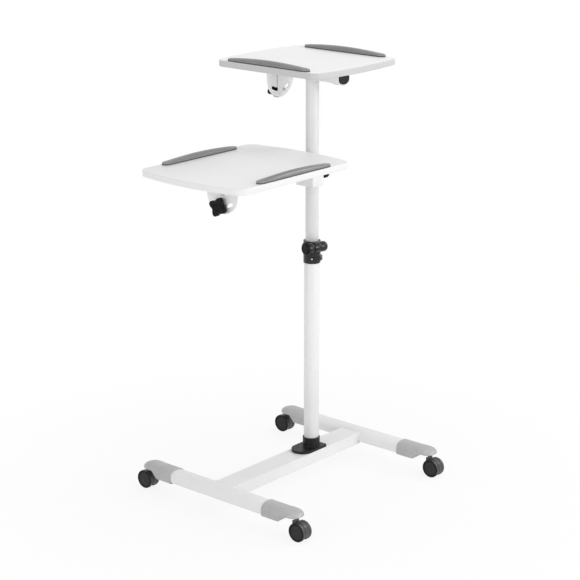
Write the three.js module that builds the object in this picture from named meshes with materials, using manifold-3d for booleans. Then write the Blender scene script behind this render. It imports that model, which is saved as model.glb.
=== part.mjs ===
// Mobile audio visual cart: an H-shaped castor base, a telescopic post and two tilting shelves.
// Millimetres, +Z up, +X along the cross beam, +Y to the back, origin on the floor below the middle.
import * as THREE from 'three';
import { mergeVertices } from 'three/addons/utils/BufferGeometryUtils.js';
import Module from 'manifold-3d';

const wasm = await Module();
wasm.setup();

// Fits shared by every piece
const gap = 0.3;
const overrun = 5;

// Facets on round shapes
const postSteps = 36;
const wheelSteps = 24;
const rodSteps = 12;
const cornerSteps = 4;
const curveSteps = 10;
const knobSteps = 40;
const fluteSteps = 4;

// Fasteners
const boltDiameter = 6;
const boltHeadDiameter = 12;
const boltHeadHeight = 4;
const nutWidth = 10;
const nutHeight = 5;

// Castors
const wheelDiameter = 46;
const wheelWidth = 10;
const wheelBevel = 2.3;
const wheelGap = 0.5;
const wheelBoreDepth = 6.5;
const axleDiameter = 6;
const castorTrail = 10.7;
const housingThickness = 11;
const housingDiameter = 45;
const housingFloor = 11;
const housingNose = 9;
const castorNeckDiameter = 11.5;
const castorNeckHeight = 8.2;
const stemDiameter = 8;
const stemDepth = 20;
const stemRise = 11;
const stemFlangeDiameter = 12;
const stemFlangeHeight = 2.2;

// Legs: oval-topped tubes that run front to back
const legTubeLength = 387;
const legWidth = 46;
const legHeight = 30;
const legWall = 1.8;
const legCrownWidth = 20;
const legCrownHeight = 13;
const legFootRadius = 7;
const legDrop = 16.6;
const legSetback = 5.2;
const leftLegReach = 340;
const rightLegReach = 178;

// Grey end caps over the leg ends
const capWall = 2.2;
const capGrip = 45.5;
const capFloor = 2;
const capCutRun = 16.6;
const capNoseLength = 39.9;
const capNoseRound = 24;
const capNoseDrop = 12;
const capLipRound = 7;
const stemInset = 15;

// Cross beam
const beamWidth = 58;
const beamHeight = 30;
const beamWall = 1.8;
const beamStep = 4;
const beamCope = 6;

// Foot of the post
const flangeLongReach = 62;
const flangeShortReach = 28;
const flangeThickness = 6.5;
const flangeCorner = 5;
const flangeNose = 30;
const flangeHeight = 29.5;
const flangeWall = 2.4;
const flangeFloor = 3;
const footBoltSpacing = 18;
const footBoltGrip = 17;

// Post: fixed outer tube and sliding mast
const outerTubeDiameter = 38;
const outerTubeWall = 1.5;
const outerTubeLength = 506;
const mastDiameter = 32.4;
const mastWall = 1.5;
const mastLength = 800;
const mastReach = 428;
const bushDepth = 50;
const bushWall = 2.1;

// Clamp at the top of the outer tube
const clampTurn = THREE.MathUtils.degToRad(-16);
const clampWall = 2;
const clampSkirt = 23;
const clampCrown = 32.3;
const clampSlit = 3;
const clampSlitDepth = 1;
const clampSlitReach = 16.5;
const clampBarrelDiameter = 26;
const clampBarrelLeft = 30;
const clampBarrelRight = 2.5;
const clampBarrelReach = 26.5;
const clampBarrelHeight = 20.8;
const clampEarReach = 3;
const clampEarHeight = 17;
const clampKnobDiameter = 32;
const clampKnobThickness = 10;
const clampKnobEdge = 3;
const clampEndLength = 22;
const clampEndDiameter = 26;
const clampEndRound = 10;
const clampLugRadius = 26;
const clampLugLeft = 12;
const clampLugHeight = 9;
const clampLugDrop = 6.7;

// Arms: tubes with a flat top and a round underside, one under each shelf
const armWidth = 36;
const armHeight = 20;
const armSide = 9;
const armWall = 1.8;
const armCapThickness = 2.5;
const armCapPlug = 10;
const saddleLength = 21;
const saddleWall = 3.2;
const earThickness = 6;
const earRadius = 5.8;
const tiltAxisRise = 7.5;
const tongueWidth = 24;
const tongueThickness = 3;
const tongueEnd = 9;
const tongueHoleDrop = 16;

// Tilt plates and hinge brackets under the shelves
const plateSpacer = 1;
const plateThickness = 3;
const plateWidth = 96;
const plateCentreDrop = 15;
const slotRadius = 61.5;
const slotHalfAngle = THREE.MathUtils.degToRad(28);
const slotWidth = 8;
const accessHoleWidth = 14;
const accessHoleHeight = 6.5;
const plateFlangeDepth = 22;
const plateFlangeWidth = 80;
const bracketThickness = 2.5;
const bracketLength = 30;
const bracketWidth = 34;
const bracketEarRadius = 5.5;

// Star knobs that lock the tilt
const knobDiameter = 48;
const knobWaistDiameter = 30;
const knobLobes = 4;
const knobTurn = THREE.MathUtils.degToRad(20);
const knobThickness = 14;
const knobHubDiameter = 18;
const knobHubLength = 7;
const knobBoreDepth = 15;
const screwTail = 6;

// Shelf boards and stops
const shelfThickness = 15;
const shelfClearance = 17;
const shelfOffset = 15;
const shelfCorner = 20;
const lowerShelfLength = 415;
const lowerShelfWidth = 319;
const lowerShelfBow = 19.5;
const lowerShelfReach = 255;
const upperShelfLength = 337;
const upperShelfWidth = 307;
const upperShelfBow = 15;
const upperShelfReach = 4;
const stopLength = 250;
const stopWidth = 21;
const stopHeight = 12.5;
const stopEndHeight = 5.5;
const stopSide = 3;
const stopEndRound = 16;
const stopMargin = 3;

// Carriage of the lower shelf, locked on the mast by a small knob
const collarRadius = 27.5;
const collarReach = 30;
const collarCorner = 3;
const collarHeight = 60;
const collarLift = 1;
const carriageDrop = 216;
const lowerPlateInset = 141.5;
const lowerSaddleReach = 67;
const upperPlateInset = 68.5;
const upperArmBack = 98;
const upperSaddleReach = -84.5;
const collarKnobDiameter = 26;
const collarKnobLength = 10;
const collarKnobReach = 41;
const collarKnobHubDiameter = 12;
const collarKnobDrop = 39.5;
const collarKnobFlutes = 12;
const collarKnobFluteDepth = 1.2;

// Heights and reaches worked out from the sizes above
const castorTop = wheelDiameter + castorNeckHeight;
const noseUnderside = castorTop + gap + stemFlangeHeight + gap;
const legBottom = noseUnderside - legDrop;
const legTop = legBottom + legHeight;
const beamTop = legTop - beamStep;
const beamBottom = beamTop - beamHeight;
const sleeveBottom = legBottom - capWall;
const sleeveTop = legTop + capWall;
const legHalf = legTubeLength / 2;
const capStep = legHalf + gap + capFloor;
const capTip = capStep + capCutRun + capNoseLength;
const stemReach = capTip - stemInset;
const flangeBottom = beamTop + gap;
const outerTubeRadius = outerTubeDiameter / 2;
const outerTubeBore = outerTubeRadius - outerTubeWall;
const outerTubeBottom = flangeBottom + flangeFloor;
const outerTubeTop = outerTubeBottom + outerTubeLength;
const mastRadius = mastDiameter / 2;
const upperArmBottom = outerTubeTop + mastReach;
const upperArmCentre = upperArmBottom + armHeight / 2;
const mastBottom = upperArmBottom - mastLength;
const lowerArmCentre = upperArmCentre - carriageDrop;
const bushRadius = mastRadius + gap + bushWall;
const clampBore = bushRadius + gap;
const clampRadius = outerTubeRadius + gap + clampWall;
const collarTop = lowerArmCentre + armHeight / 2 + collarLift;
const collarBottom = collarTop - collarHeight;
const lowerPlateReach = lowerShelfReach + lowerShelfLength / 2 - lowerPlateInset;
const upperPlateReach = upperShelfReach + upperShelfLength / 2 - upperPlateInset;
const boardUnderside = armHeight / 2 + shelfClearance;
const tiltAxis = armHeight / 2 + tiltAxisRise;
const clampBoltDrop = slotRadius - tiltAxis;
const boltRadius = boltDiameter / 2;
const boltHole = boltRadius + gap;

// Materials
function material(colour, roughness, metalness) {
  return new THREE.MeshStandardMaterial({ color: new THREE.Color(...colour), roughness, metalness });
}
const whitePaint = material([0.86, 0.86, 0.85], 0.35, 0);
const whiteBoard = material([0.9, 0.9, 0.89], 0.45, 0);
const greyPlastic = material([0.38, 0.38, 0.38], 0.5, 0);
const darkGrey = material([0.2, 0.2, 0.2], 0.6, 0);
const blackPlastic = material([0.03, 0.03, 0.03], 0.45, 0);
const zincSteel = material([0.6, 0.6, 0.6], 0.35, 1);

// Solids and booleans
function toSolid(geometry) {
  const bare = geometry.clone();
  bare.deleteAttribute('normal');
  bare.deleteAttribute('uv');
  const merged = mergeVertices(bare);
  const corners = merged.index.array;
  const kept = [];
  for (let i = 0; i < corners.length; i += 3) {
    const [a, b, c] = [corners[i], corners[i + 1], corners[i + 2]];
    if (a !== b && b !== c && c !== a) kept.push(a, b, c);
  }
  return new wasm.Manifold(new wasm.Mesh({
    numProp: 3,
    vertProperties: new Float32Array(merged.attributes.position.array),
    triVerts: new Uint32Array(kept),
  }));
}

function toGeometry(solid) {
  const mesh = solid.getMesh();
  const geometry = new THREE.BufferGeometry();
  geometry.setAttribute('position', new THREE.BufferAttribute(mesh.vertProperties, 3));
  geometry.setIndex(new THREE.BufferAttribute(mesh.triVerts, 1));
  geometry.computeVertexNormals();
  return geometry;
}

function cut(body, ...tools) {
  return toGeometry(tools.reduce((solid, tool) => solid.subtract(toSolid(tool)), toSolid(body)));
}

function join(...bodies) {
  return toGeometry(bodies.map(toSolid).reduce((one, other) => one.add(other)));
}

function meet(...bodies) {
  return toGeometry(bodies.map(toSolid).reduce((one, other) => one.intersect(other)));
}

// Outlines
function arc(x, y, radiusX, radiusY, from, to, steps) {
  const points = [];
  for (let i = 0; i <= steps; i += 1) {
    const angle = from + (to - from) * i / steps;
    points.push(new THREE.Vector2(x + radiusX * Math.cos(angle), y + radiusY * Math.sin(angle)));
  }
  return points;
}

function corner(x, y, radius, from) {
  return arc(x, y, radius, radius, from, from + Math.PI / 2, cornerSteps);
}

function circle(x, y, radius, steps) {
  return arc(x, y, radius, radius, 0, Math.PI * 2, steps).slice(0, steps);
}

function roundedBox(left, bottom, right, top, radius) {
  return [
    ...corner(right - radius, bottom + radius, radius, -Math.PI / 2),
    ...corner(right - radius, top - radius, radius, 0),
    ...corner(left + radius, top - radius, radius, Math.PI / 2),
    ...corner(left + radius, bottom + radius, radius, Math.PI),
  ];
}

function box(left, bottom, right, top) {
  const corners = [[left, bottom], [right, bottom], [right, top], [left, top]];
  return corners.map(([x, y]) => new THREE.Vector2(x, y));
}

// Extrusions: an outline is drawn in X and Y, in Y and Z or in X and Z
const toX = new THREE.Matrix4().makeBasis(
  new THREE.Vector3(0, 1, 0), new THREE.Vector3(0, 0, 1), new THREE.Vector3(1, 0, 0));
const toY = new THREE.Matrix4().makeBasis(
  new THREE.Vector3(1, 0, 0), new THREE.Vector3(0, 0, 1), new THREE.Vector3(0, -1, 0));

function alongZ(outline, from, to, ...holes) {
  const shape = new THREE.Shape(outline);
  shape.holes = holes.map((hole) => new THREE.Path(hole));
  const geometry = new THREE.ExtrudeGeometry(shape, { depth: to - from, bevelEnabled: false });
  return geometry.translate(0, 0, from);
}

function alongX(outline, from, to, ...holes) {
  return alongZ(outline, 0, to - from, ...holes).applyMatrix4(toX).translate(from, 0, 0);
}

function alongY(outline, from, to, ...holes) {
  return alongZ(outline, 0, to - from, ...holes).applyMatrix4(toY).translate(0, to, 0);
}

function rodZ(radius, from, to, steps = rodSteps) {
  const geometry = new THREE.CylinderGeometry(radius, radius, to - from, steps);
  return geometry.rotateX(Math.PI / 2).translate(0, 0, (from + to) / 2);
}

function rodX(radius, from, to, steps = rodSteps) {
  return rodZ(radius, from, to, steps).rotateY(Math.PI / 2);
}

function ringZ(radius, bore, from, to) {
  return alongZ(circle(0, 0, radius, postSteps), from, to, circle(0, 0, bore, postSteps));
}

function turnedZ(profile, steps) {
  const points = profile.map(([radius, height]) => new THREE.Vector2(radius, height));
  return new THREE.LatheGeometry(points, steps).rotateX(Math.PI / 2);
}

function hexX(width, from, to) {
  return rodX(width / 2 / Math.cos(Math.PI / 6), from, to, 6);
}

// Scene graph
const model = new THREE.Group();
const postAxis = new THREE.Group();
model.add(postAxis);
const legMiddle = new THREE.Group();
legMiddle.position.y = -legSetback;
postAxis.add(legMiddle);

function add(parent, name, geometry, look) {
  const mesh = new THREE.Mesh(geometry, look);
  mesh.name = name;
  parent.add(mesh);
  return mesh;
}

// Section of a leg, grown outwards by a margin
function legSection(margin) {
  const side = legWidth / 2 + margin;
  const bottom = legBottom - margin;
  const crownX = legWidth / 2 - legCrownWidth;
  const crownZ = legTop - legCrownHeight;
  const crownWidth = legCrownWidth + margin;
  const crownHeight = legCrownHeight + margin;
  const foot = legFootRadius + margin;
  return [
    ...corner(side - foot, bottom + foot, foot, -Math.PI / 2),
    ...arc(crownX, crownZ, crownWidth, crownHeight, 0, Math.PI / 2, cornerSteps),
    ...arc(-crownX, crownZ, crownWidth, crownHeight, Math.PI / 2, Math.PI, cornerSteps),
    ...corner(-side + foot, bottom + foot, foot, Math.PI),
  ];
}

function legGeometry() {
  return alongY(legSection(0), -legHalf, legHalf, legSection(-legWall));
}

// End cap: a sleeve over the tube, cut away below, with a thin rounded nose over the castor
function capGeometry() {
  const capRim = legHalf - capGrip;
  const side = legWidth / 2 + capWall;
  const cutTop = capStep + capCutRun;
  const roundBottom = sleeveTop - capNoseDrop;
  const outer = alongY(legSection(capWall), capRim, capTip);
  const profile = [
    new THREE.Vector2(capRim, sleeveBottom - overrun),
    new THREE.Vector2(capStep, sleeveBottom - overrun),
    new THREE.Vector2(capStep, sleeveBottom),
    new THREE.Vector2(cutTop, noseUnderside),
    ...arc(capTip - capLipRound, roundBottom, capLipRound, roundBottom - noseUnderside,
      -Math.PI / 2, 0, cornerSteps),
    ...arc(capTip - capNoseRound, roundBottom, capNoseRound, capNoseDrop, 0, Math.PI / 2, cornerSteps),
    new THREE.Vector2(capTip - capNoseRound, sleeveTop + overrun),
    new THREE.Vector2(capRim, sleeveTop + overrun),
  ];
  const sideView = alongX(profile, -side - overrun, side + overrun);
  const plan = [
    ...arc(0, capTip - side, side, side, 0, Math.PI, curveSteps),
    new THREE.Vector2(-side, capRim),
    new THREE.Vector2(side, capRim),
  ];
  const topView = alongZ(plan, sleeveBottom - overrun, sleeveTop + overrun);
  const pocket = alongY(legSection(gap), capRim - overrun, legHalf + gap);
  const socketTop = noseUnderside + stemRise + gap;
  const socket = rodZ(stemDiameter / 2 + gap, noseUnderside - overrun, socketTop).translate(0, stemReach, 0);
  return cut(meet(outer, sideView, topView), pocket, socket);
}

// Hollow beam, coped to the sides of the legs
function beamGeometry() {
  const left = -leftLegReach + legWidth / 2 - beamCope;
  const right = rightLegReach - legWidth / 2 + beamCope;
  const side = beamWidth / 2;
  const inner = side - beamWall;
  const tube = alongX(box(-side, beamBottom, side, beamTop), left, right,
    box(-inner, beamBottom + beamWall, inner, beamTop - beamWall));
  const legs = [-leftLegReach, rightLegReach].map((x) => {
    return alongY(legSection(gap), -beamWidth, beamWidth).translate(x, 0, 0);
  });
  const holes = footBoltPlaces().map((x) => {
    return rodZ(boltHole, beamBottom - overrun, beamTop + overrun).translate(x, 0, 0);
  });
  return cut(tube, ...legs, ...holes);
}

function footBoltPlaces() {
  return [-footBoltSpacing / 2, footBoltSpacing / 2];
}

// Black foot: a plate on the beam with a collar and a spigot for the outer tube
function flangeGeometry() {
  const side = beamWidth / 2;
  const right = flangeShortReach;
  const outline = [
    ...corner(right - flangeCorner, -side + flangeCorner, flangeCorner, -Math.PI / 2),
    ...corner(right - flangeCorner, side - flangeCorner, flangeCorner, 0),
    ...arc(-flangeLongReach + flangeNose, 0, flangeNose, side, Math.PI / 2, Math.PI * 1.5, curveSteps),
  ];
  const plate = alongZ(outline, flangeBottom, flangeBottom + flangeThickness);
  const top = flangeBottom + flangeHeight;
  const collar = rodZ(outerTubeRadius + gap + flangeWall, flangeBottom, top, postSteps);
  const groove = ringZ(outerTubeRadius + gap, outerTubeBore - gap, outerTubeBottom - gap, top + overrun);
  const holes = footBoltPlaces().map((x) => {
    return rodZ(boltHole, flangeBottom - overrun, flangeBottom + footBoltGrip + gap).translate(x, 0, 0);
  });
  return cut(join(plate, collar), groove, ...holes);
}

function footBoltGeometry() {
  const head = rodZ(boltHeadDiameter / 2, beamBottom - gap - boltHeadHeight, beamBottom - gap);
  const shank = rodZ(boltRadius, beamBottom - gap - boltHeadHeight / 2, flangeBottom + footBoltGrip);
  return join(head, shank);
}

function addBase() {
  [['left', -leftLegReach], ['right', rightLegReach]].forEach(([side, x]) => {
    add(legMiddle, `leg_${side}`, legGeometry().translate(x, 0, 0), whitePaint);
    [['front', Math.PI], ['back', 0]].forEach(([end, turn]) => {
      const cap = add(legMiddle, `end_cap_${side}_${end}`, capGeometry(), greyPlastic);
      cap.position.x = x;
      cap.rotation.z = turn;
    });
  });
  add(postAxis, 'cross_beam', beamGeometry(), whitePaint);
  add(postAxis, 'foot_flange', flangeGeometry(), blackPlastic);
  footBoltPlaces().forEach((x, i) => {
    const bolt = add(postAxis, `foot_bolt_${i + 1}`, footBoltGeometry(), zincSteel);
    bolt.position.x = x;
  });
}

// Castors: a central housing with a neck for the steel stem, and one wheel on each side
function housingGeometry() {
  const half = housingThickness / 2;
  const centre = wheelDiameter / 2;
  const disc = rodX(housingDiameter / 2, -half, half, wheelSteps).translate(0, castorTrail, centre);
  const nose = alongX(box(-housingNose, centre, castorTrail, wheelDiameter), -half, half);
  const floor = alongX(box(-wheelDiameter, -overrun, wheelDiameter, housingFloor), -centre, centre);
  const neck = rodZ(castorNeckDiameter / 2, wheelDiameter - wheelGap, castorTop);
  const stemBore = rodZ(stemDiameter / 2 + gap, wheelDiameter - stemDepth - gap, castorTop + overrun);
  const axleBore = rodX(axleDiameter / 2 + gap, -half - overrun, half + overrun)
    .translate(0, castorTrail, centre);
  return cut(join(disc, nose, neck), floor, stemBore, axleBore);
}

function axleGeometry() {
  const reach = housingThickness / 2 + wheelGap + wheelBoreDepth - gap;
  return rodX(axleDiameter / 2, -reach, reach).translate(0, castorTrail, wheelDiameter / 2);
}

function wheelGeometry() {
  const radius = wheelDiameter / 2;
  const bore = axleDiameter / 2 + gap;
  const profile = [
    [0, wheelBoreDepth], [bore, wheelBoreDepth], [bore, 0], [radius - wheelBevel, 0],
    [radius, wheelBevel], [radius, wheelWidth - wheelBevel], [radius - wheelBevel, wheelWidth],
    [0, wheelWidth],
  ];
  return turnedZ(profile, wheelSteps).rotateY(Math.PI / 2);
}

function stemGeometry() {
  const flangeTop = noseUnderside - gap;
  const rod = rodZ(stemDiameter / 2, wheelDiameter - stemDepth, noseUnderside + stemRise);
  const flange = rodZ(stemFlangeDiameter / 2, flangeTop - stemFlangeHeight, flangeTop);
  return join(rod, flange);
}

function castorPlaces() {
  const places = [];
  [['left', -leftLegReach], ['right', rightLegReach]].forEach(([side, x]) => {
    places.push({ name: `castor_${side}_front`, x, y: -stemReach, turn: Math.PI });
    places.push({ name: `castor_${side}_back`, x, y: stemReach, turn: 0 });
  });
  return places;
}

function addCastors() {
  castorPlaces().forEach(({ name, x, y, turn }) => {
    const castor = new THREE.Group();
    castor.position.set(x, y, 0);
    castor.rotation.z = turn;
    legMiddle.add(castor);
    add(castor, `${name}_stem`, stemGeometry(), zincSteel);
    add(castor, `${name}_housing`, housingGeometry(), blackPlastic);
    add(castor, `${name}_axle`, axleGeometry(), zincSteel);
    [['a', 0], ['b', Math.PI]].forEach(([letter, flip]) => {
      const wheel = add(castor, `${name}_wheel_${letter}`, wheelGeometry(), blackPlastic);
      const reach = housingThickness / 2 + wheelGap;
      wheel.position.set(Math.cos(flip) * reach, castorTrail, wheelDiameter / 2);
      wheel.rotation.z = flip;
    });
  });
}

// Post: outer tube, guide bush and sliding mast
function bushGeometry() {
  const bore = mastRadius + gap;
  const skirt = outerTubeBore - gap;
  const shoulder = outerTubeTop + gap;
  return turnedZ([
    [bore, outerTubeTop - bushDepth], [skirt, outerTubeTop - bushDepth], [skirt, shoulder],
    [bushRadius, shoulder], [bushRadius, outerTubeTop + clampCrown], [bore, outerTubeTop + clampCrown],
    [bore, outerTubeTop - bushDepth],
  ], postSteps);
}

function mastGeometry() {
  const tube = ringZ(mastRadius, mastRadius - mastWall, mastBottom, upperArmCentre);
  const arm = alongY(armSection(gap), -mastDiameter, mastDiameter).translate(0, 0, upperArmCentre);
  return cut(tube, arm);
}

function addPost() {
  const tube = ringZ(outerTubeRadius, outerTubeBore, outerTubeBottom, outerTubeTop);
  add(postAxis, 'outer_tube', tube, whitePaint);
  add(postAxis, 'guide_bush', bushGeometry(), blackPlastic);
  add(postAxis, 'mast_tube', mastGeometry(), whitePaint);
}

// Clamp body: a stepped sleeve, split at the front and drawn together by a bolt in its barrel
function clampGeometry() {
  const bottom = outerTubeTop - clampSkirt;
  const top = outerTubeTop + clampCrown;
  const step = outerTubeTop + gap;
  const sleeve = rodZ(clampRadius, bottom, top, postSteps);
  const barrelZ = outerTubeTop + clampBarrelHeight;
  const barrel = rodX(clampBarrelDiameter / 2, -clampBarrelLeft, clampBarrelRight, wheelSteps)
    .translate(0, -clampBarrelReach, barrelZ);
  const earOutline = box(-clampBarrelLeft, -clampBarrelReach, clampBarrelRight, -clampEarReach);
  const ear = alongZ(earOutline, barrelZ - clampEarHeight / 2, barrelZ + clampEarHeight / 2);
  const lugTop = outerTubeTop - clampLugDrop;
  const lugRound = rodZ(clampLugRadius, lugTop - clampLugHeight, lugTop, postSteps);
  const lugSides = box(-clampLugLeft, -clampLugRadius - overrun, clampLugRadius + overrun, 0);
  const lug = meet(lugRound, alongZ(lugSides, bottom, top));
  const lowBore = rodZ(outerTubeRadius + gap, bottom - overrun, step, postSteps);
  const highBore = rodZ(clampBore, bottom, top + overrun, postSteps);
  const slitFront = -clampBarrelReach - clampBarrelDiameter;
  const slitOutline = box(-clampSlitReach - clampSlit / 2, slitFront, -clampSlitReach + clampSlit / 2, 0);
  const slit = alongZ(slitOutline, outerTubeTop - clampSlitDepth, top + overrun);
  const boltBore = rodX(boltHole, -clampBarrelLeft - overrun, clampBarrelRight + overrun)
    .translate(0, -clampBarrelReach, barrelZ);
  return cut(join(sleeve, barrel, ear, lug), lowBore, highBore, slit, boltBore);
}

function clampKnobGeometry() {
  const radius = clampKnobDiameter / 2;
  const edge = clampKnobEdge;
  const knob = turnedZ([
    [0, 0], [radius - edge, 0], [radius, edge], [radius, clampKnobThickness - edge],
    [radius - edge, clampKnobThickness], [0, clampKnobThickness],
  ], wheelSteps).rotateY(-Math.PI / 2);
  const bore = rodX(boltHole, -clampKnobThickness / 2 - gap, overrun);
  return cut(knob, bore).translate(-clampBarrelLeft - gap, 0, 0);
}

function clampEndGeometry() {
  const radius = clampEndDiameter / 2;
  const profile = [
    new THREE.Vector2(0, 0), new THREE.Vector2(radius, 0),
    ...arc(radius - clampEndRound, clampEndLength - clampEndRound, clampEndRound, clampEndRound,
      0, Math.PI / 2, cornerSteps),
    new THREE.Vector2(0, clampEndLength),
  ];
  const dome = new THREE.LatheGeometry(profile, wheelSteps).rotateX(Math.PI / 2).rotateY(Math.PI / 2);
  const bore = rodX(boltHole, -overrun, clampEndLength / 2 + gap);
  const sleeve = rodZ(clampRadius + gap, -clampEndDiameter, clampEndDiameter, postSteps)
    .translate(0, clampBarrelReach, 0);
  return cut(cut(dome, bore).translate(clampBarrelRight + gap, 0, 0), sleeve);
}

function addClamp() {
  const clamp = new THREE.Group();
  clamp.rotation.z = clampTurn;
  postAxis.add(clamp);
  add(clamp, 'clamp_body', clampGeometry(), blackPlastic);
  const barrel = new THREE.Group();
  barrel.position.set(0, -clampBarrelReach, outerTubeTop + clampBarrelHeight);
  clamp.add(barrel);
  add(barrel, 'clamp_knob', clampKnobGeometry(), blackPlastic);
  add(barrel, 'clamp_end', clampEndGeometry(), blackPlastic);
  const left = clampBarrelLeft + gap + clampKnobThickness / 2;
  const right = clampBarrelRight + gap + clampEndLength / 2;
  add(barrel, 'clamp_bolt', rodX(boltRadius, -left, right), zincSteel);
}

// Section of an arm about its middle, grown outwards by a margin: flat top, round underside
function armSection(margin) {
  const side = armWidth / 2 + margin;
  const top = armHeight / 2 + margin;
  const bend = armHeight / 2 - armSide;
  const depth = armHeight - armSide + margin;
  return [
    new THREE.Vector2(side, top),
    new THREE.Vector2(-side, top),
    ...arc(0, bend, side, depth, Math.PI, Math.PI * 2, curveSteps),
  ];
}

// Arm along X: tube, hinge saddle and tongue, welded into one piece
function armGeometry(start, plateReach, saddleReach) {
  const tongueTo = plateReach - plateThickness - plateSpacer;
  const tongueFrom = tongueTo - tongueThickness;
  const tube = alongX(armSection(0), start, tongueTo - tongueThickness / 2);
  const saddleFrom = saddleReach - saddleLength / 2;
  const saddleTo = saddleReach + saddleLength / 2;
  const saddle = alongX(armSection(saddleWall), saddleFrom, saddleTo);
  const flat = armHeight / 2;
  const aboveArm = box(-armWidth, flat, armWidth, flat + armWidth);
  const saddleTop = alongX(aboveArm, saddleFrom - overrun, saddleTo + overrun);
  const earFrom = saddleReach - earThickness / 2;
  const earTo = saddleReach + earThickness / 2;
  const ear = alongX([
    ...arc(0, tiltAxis, earRadius, earRadius, 0, Math.PI, curveSteps),
    new THREE.Vector2(-earRadius, armWall),
    new THREE.Vector2(earRadius, armWall),
  ], earFrom, earTo);
  const earHole = rodX(boltHole, earFrom - overrun, earTo + overrun).translate(0, 0, tiltAxis);
  const hollow = alongX(armSection(-armWall), start - overrun, tongueFrom);
  const carrier = cut(join(tube, cut(saddle, saddleTop)), hollow);
  const insideTube = alongX(armSection(-armWall / 2), earFrom - overrun, earTo + overrun);
  const bearing = cut(ear, earHole, insideTube);
  const nutFrom = tongueFrom - nutHeight;
  const nut = hexX(nutWidth, nutFrom, tongueFrom + tongueThickness / 2).translate(0, 0, -clampBoltDrop);
  const tongue = alongX(tongueOutline(), tongueFrom, tongueTo);
  const body = join(carrier, bearing, tongue, nut);
  const pivotHole = rodX(boltHole, tongueFrom - overrun, tongueTo + overrun).translate(0, 0, tiltAxis);
  const clampHole = rodX(boltHole, nutFrom - overrun, tongueTo + overrun).translate(0, 0, -clampBoltDrop);
  return cut(body, pivotHole, clampHole);
}

function tongueOutline() {
  const side = tongueWidth / 2;
  return [
    ...arc(0, -clampBoltDrop, side, tongueEnd, Math.PI, Math.PI * 2, curveSteps),
    new THREE.Vector2(side, 0),
    ...arc(0, tiltAxis, earRadius, earRadius, 0, Math.PI, curveSteps),
    new THREE.Vector2(-side, 0),
  ];
}

function armCapGeometry() {
  const face = alongX(armSection(0), -armCapThickness, 0);
  const plug = alongX(armSection(-armWall - gap), -armCapThickness / 2, armCapPlug);
  return join(face, plug);
}

// Tilt plate along X: a U-shaped plate with an arc slot, bent to a flange under the shelf
function tiltPlateGeometry(plateReach) {
  const side = plateWidth / 2;
  const top = boardUnderside - gap;
  const inner = plateReach - plateThickness;
  const outline = [
    ...arc(0, -plateCentreDrop, side, side, Math.PI, Math.PI * 2, postSteps / 2),
    new THREE.Vector2(side, top),
    new THREE.Vector2(-side, top),
  ];
  const slot = [
    ...arc(0, tiltAxis, slotRadius + slotWidth / 2, slotRadius + slotWidth / 2,
      -Math.PI / 2 - slotHalfAngle, -Math.PI / 2 + slotHalfAngle, curveSteps),
    ...slotEnd(1),
    ...arc(0, tiltAxis, slotRadius - slotWidth / 2, slotRadius - slotWidth / 2,
      -Math.PI / 2 + slotHalfAngle, -Math.PI / 2 - slotHalfAngle, curveSteps),
    ...slotEnd(-1),
  ];
  const hole = circle(0, tiltAxis, boltHole, rodSteps);
  const accessDrop = tongueHoleDrop;
  const access = roundedBox(-accessHoleWidth / 2, -accessDrop - accessHoleHeight / 2,
    accessHoleWidth / 2, -accessDrop + accessHoleHeight / 2, accessHoleHeight / 2 - gap);
  const plate = alongX(outline, inner, plateReach, slot, hole, access);
  const flange = alongX(box(-plateFlangeWidth / 2, top - plateThickness, plateFlangeWidth / 2, top),
    inner + plateThickness / 2, inner + plateFlangeDepth);
  return join(plate, flange);
}

function slotEnd(side) {
  const angle = -Math.PI / 2 + side * slotHalfAngle;
  const x = slotRadius * Math.cos(angle);
  const y = tiltAxis + slotRadius * Math.sin(angle);
  const start = side > 0 ? angle : angle + Math.PI;
  return arc(x, y, slotWidth / 2, slotWidth / 2, start, start + Math.PI, cornerSteps).slice(1, cornerSteps);
}

// Hinge bracket along X: a base under the shelf with two ears around the ear of the arm
function bracketGeometry(saddleReach) {
  const top = boardUnderside - gap;
  const left = saddleReach - bracketLength / 2;
  const right = saddleReach + bracketLength / 2;
  const base = alongX(box(-bracketWidth / 2, top - bracketThickness, bracketWidth / 2, top), left, right);
  const ears = [-1, 1].map((side) => {
    const inner = earThickness / 2 + gap;
    const from = side > 0 ? saddleReach + inner : saddleReach - inner - bracketThickness;
    return alongX([
      ...arc(0, tiltAxis, bracketEarRadius, bracketEarRadius, Math.PI, Math.PI * 2, curveSteps),
      new THREE.Vector2(bracketEarRadius, top - bracketThickness / 2),
      new THREE.Vector2(-bracketEarRadius, top - bracketThickness / 2),
    ], from, from + bracketThickness);
  });
  const pinHole = rodX(boltHole, left - overrun, right + overrun).translate(0, 0, tiltAxis);
  return cut(join(base, ...ears), pinHole);
}

// Pivot bolt through the tongue and the plate, and pin through the hinge ears
function pivotBoltGeometry(plateReach) {
  const nutTo = plateReach - plateThickness - plateSpacer - tongueThickness - gap;
  const head = rodX(boltHeadDiameter / 2, plateReach + gap, plateReach + gap + boltHeadHeight);
  const shank = rodX(boltRadius, nutTo - nutHeight - gap, plateReach + gap + boltHeadHeight / 2);
  const nut = hexX(nutWidth, nutTo - nutHeight, nutTo);
  return join(head, shank, nut).translate(0, 0, tiltAxis);
}

function hingePinGeometry(saddleReach) {
  const reach = earThickness / 2 + gap + bracketThickness + gap;
  const pin = rodX(boltRadius, -reach - boltHeadHeight / 2, reach + boltHeadHeight / 2);
  const heads = [-1, 1].map((side) => {
    const from = side > 0 ? reach : -reach - boltHeadHeight / 2;
    return rodX(earRadius - gap * 2, from, from + boltHeadHeight / 2);
  });
  return join(pin, ...heads).translate(saddleReach, 0, tiltAxis);
}

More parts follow.
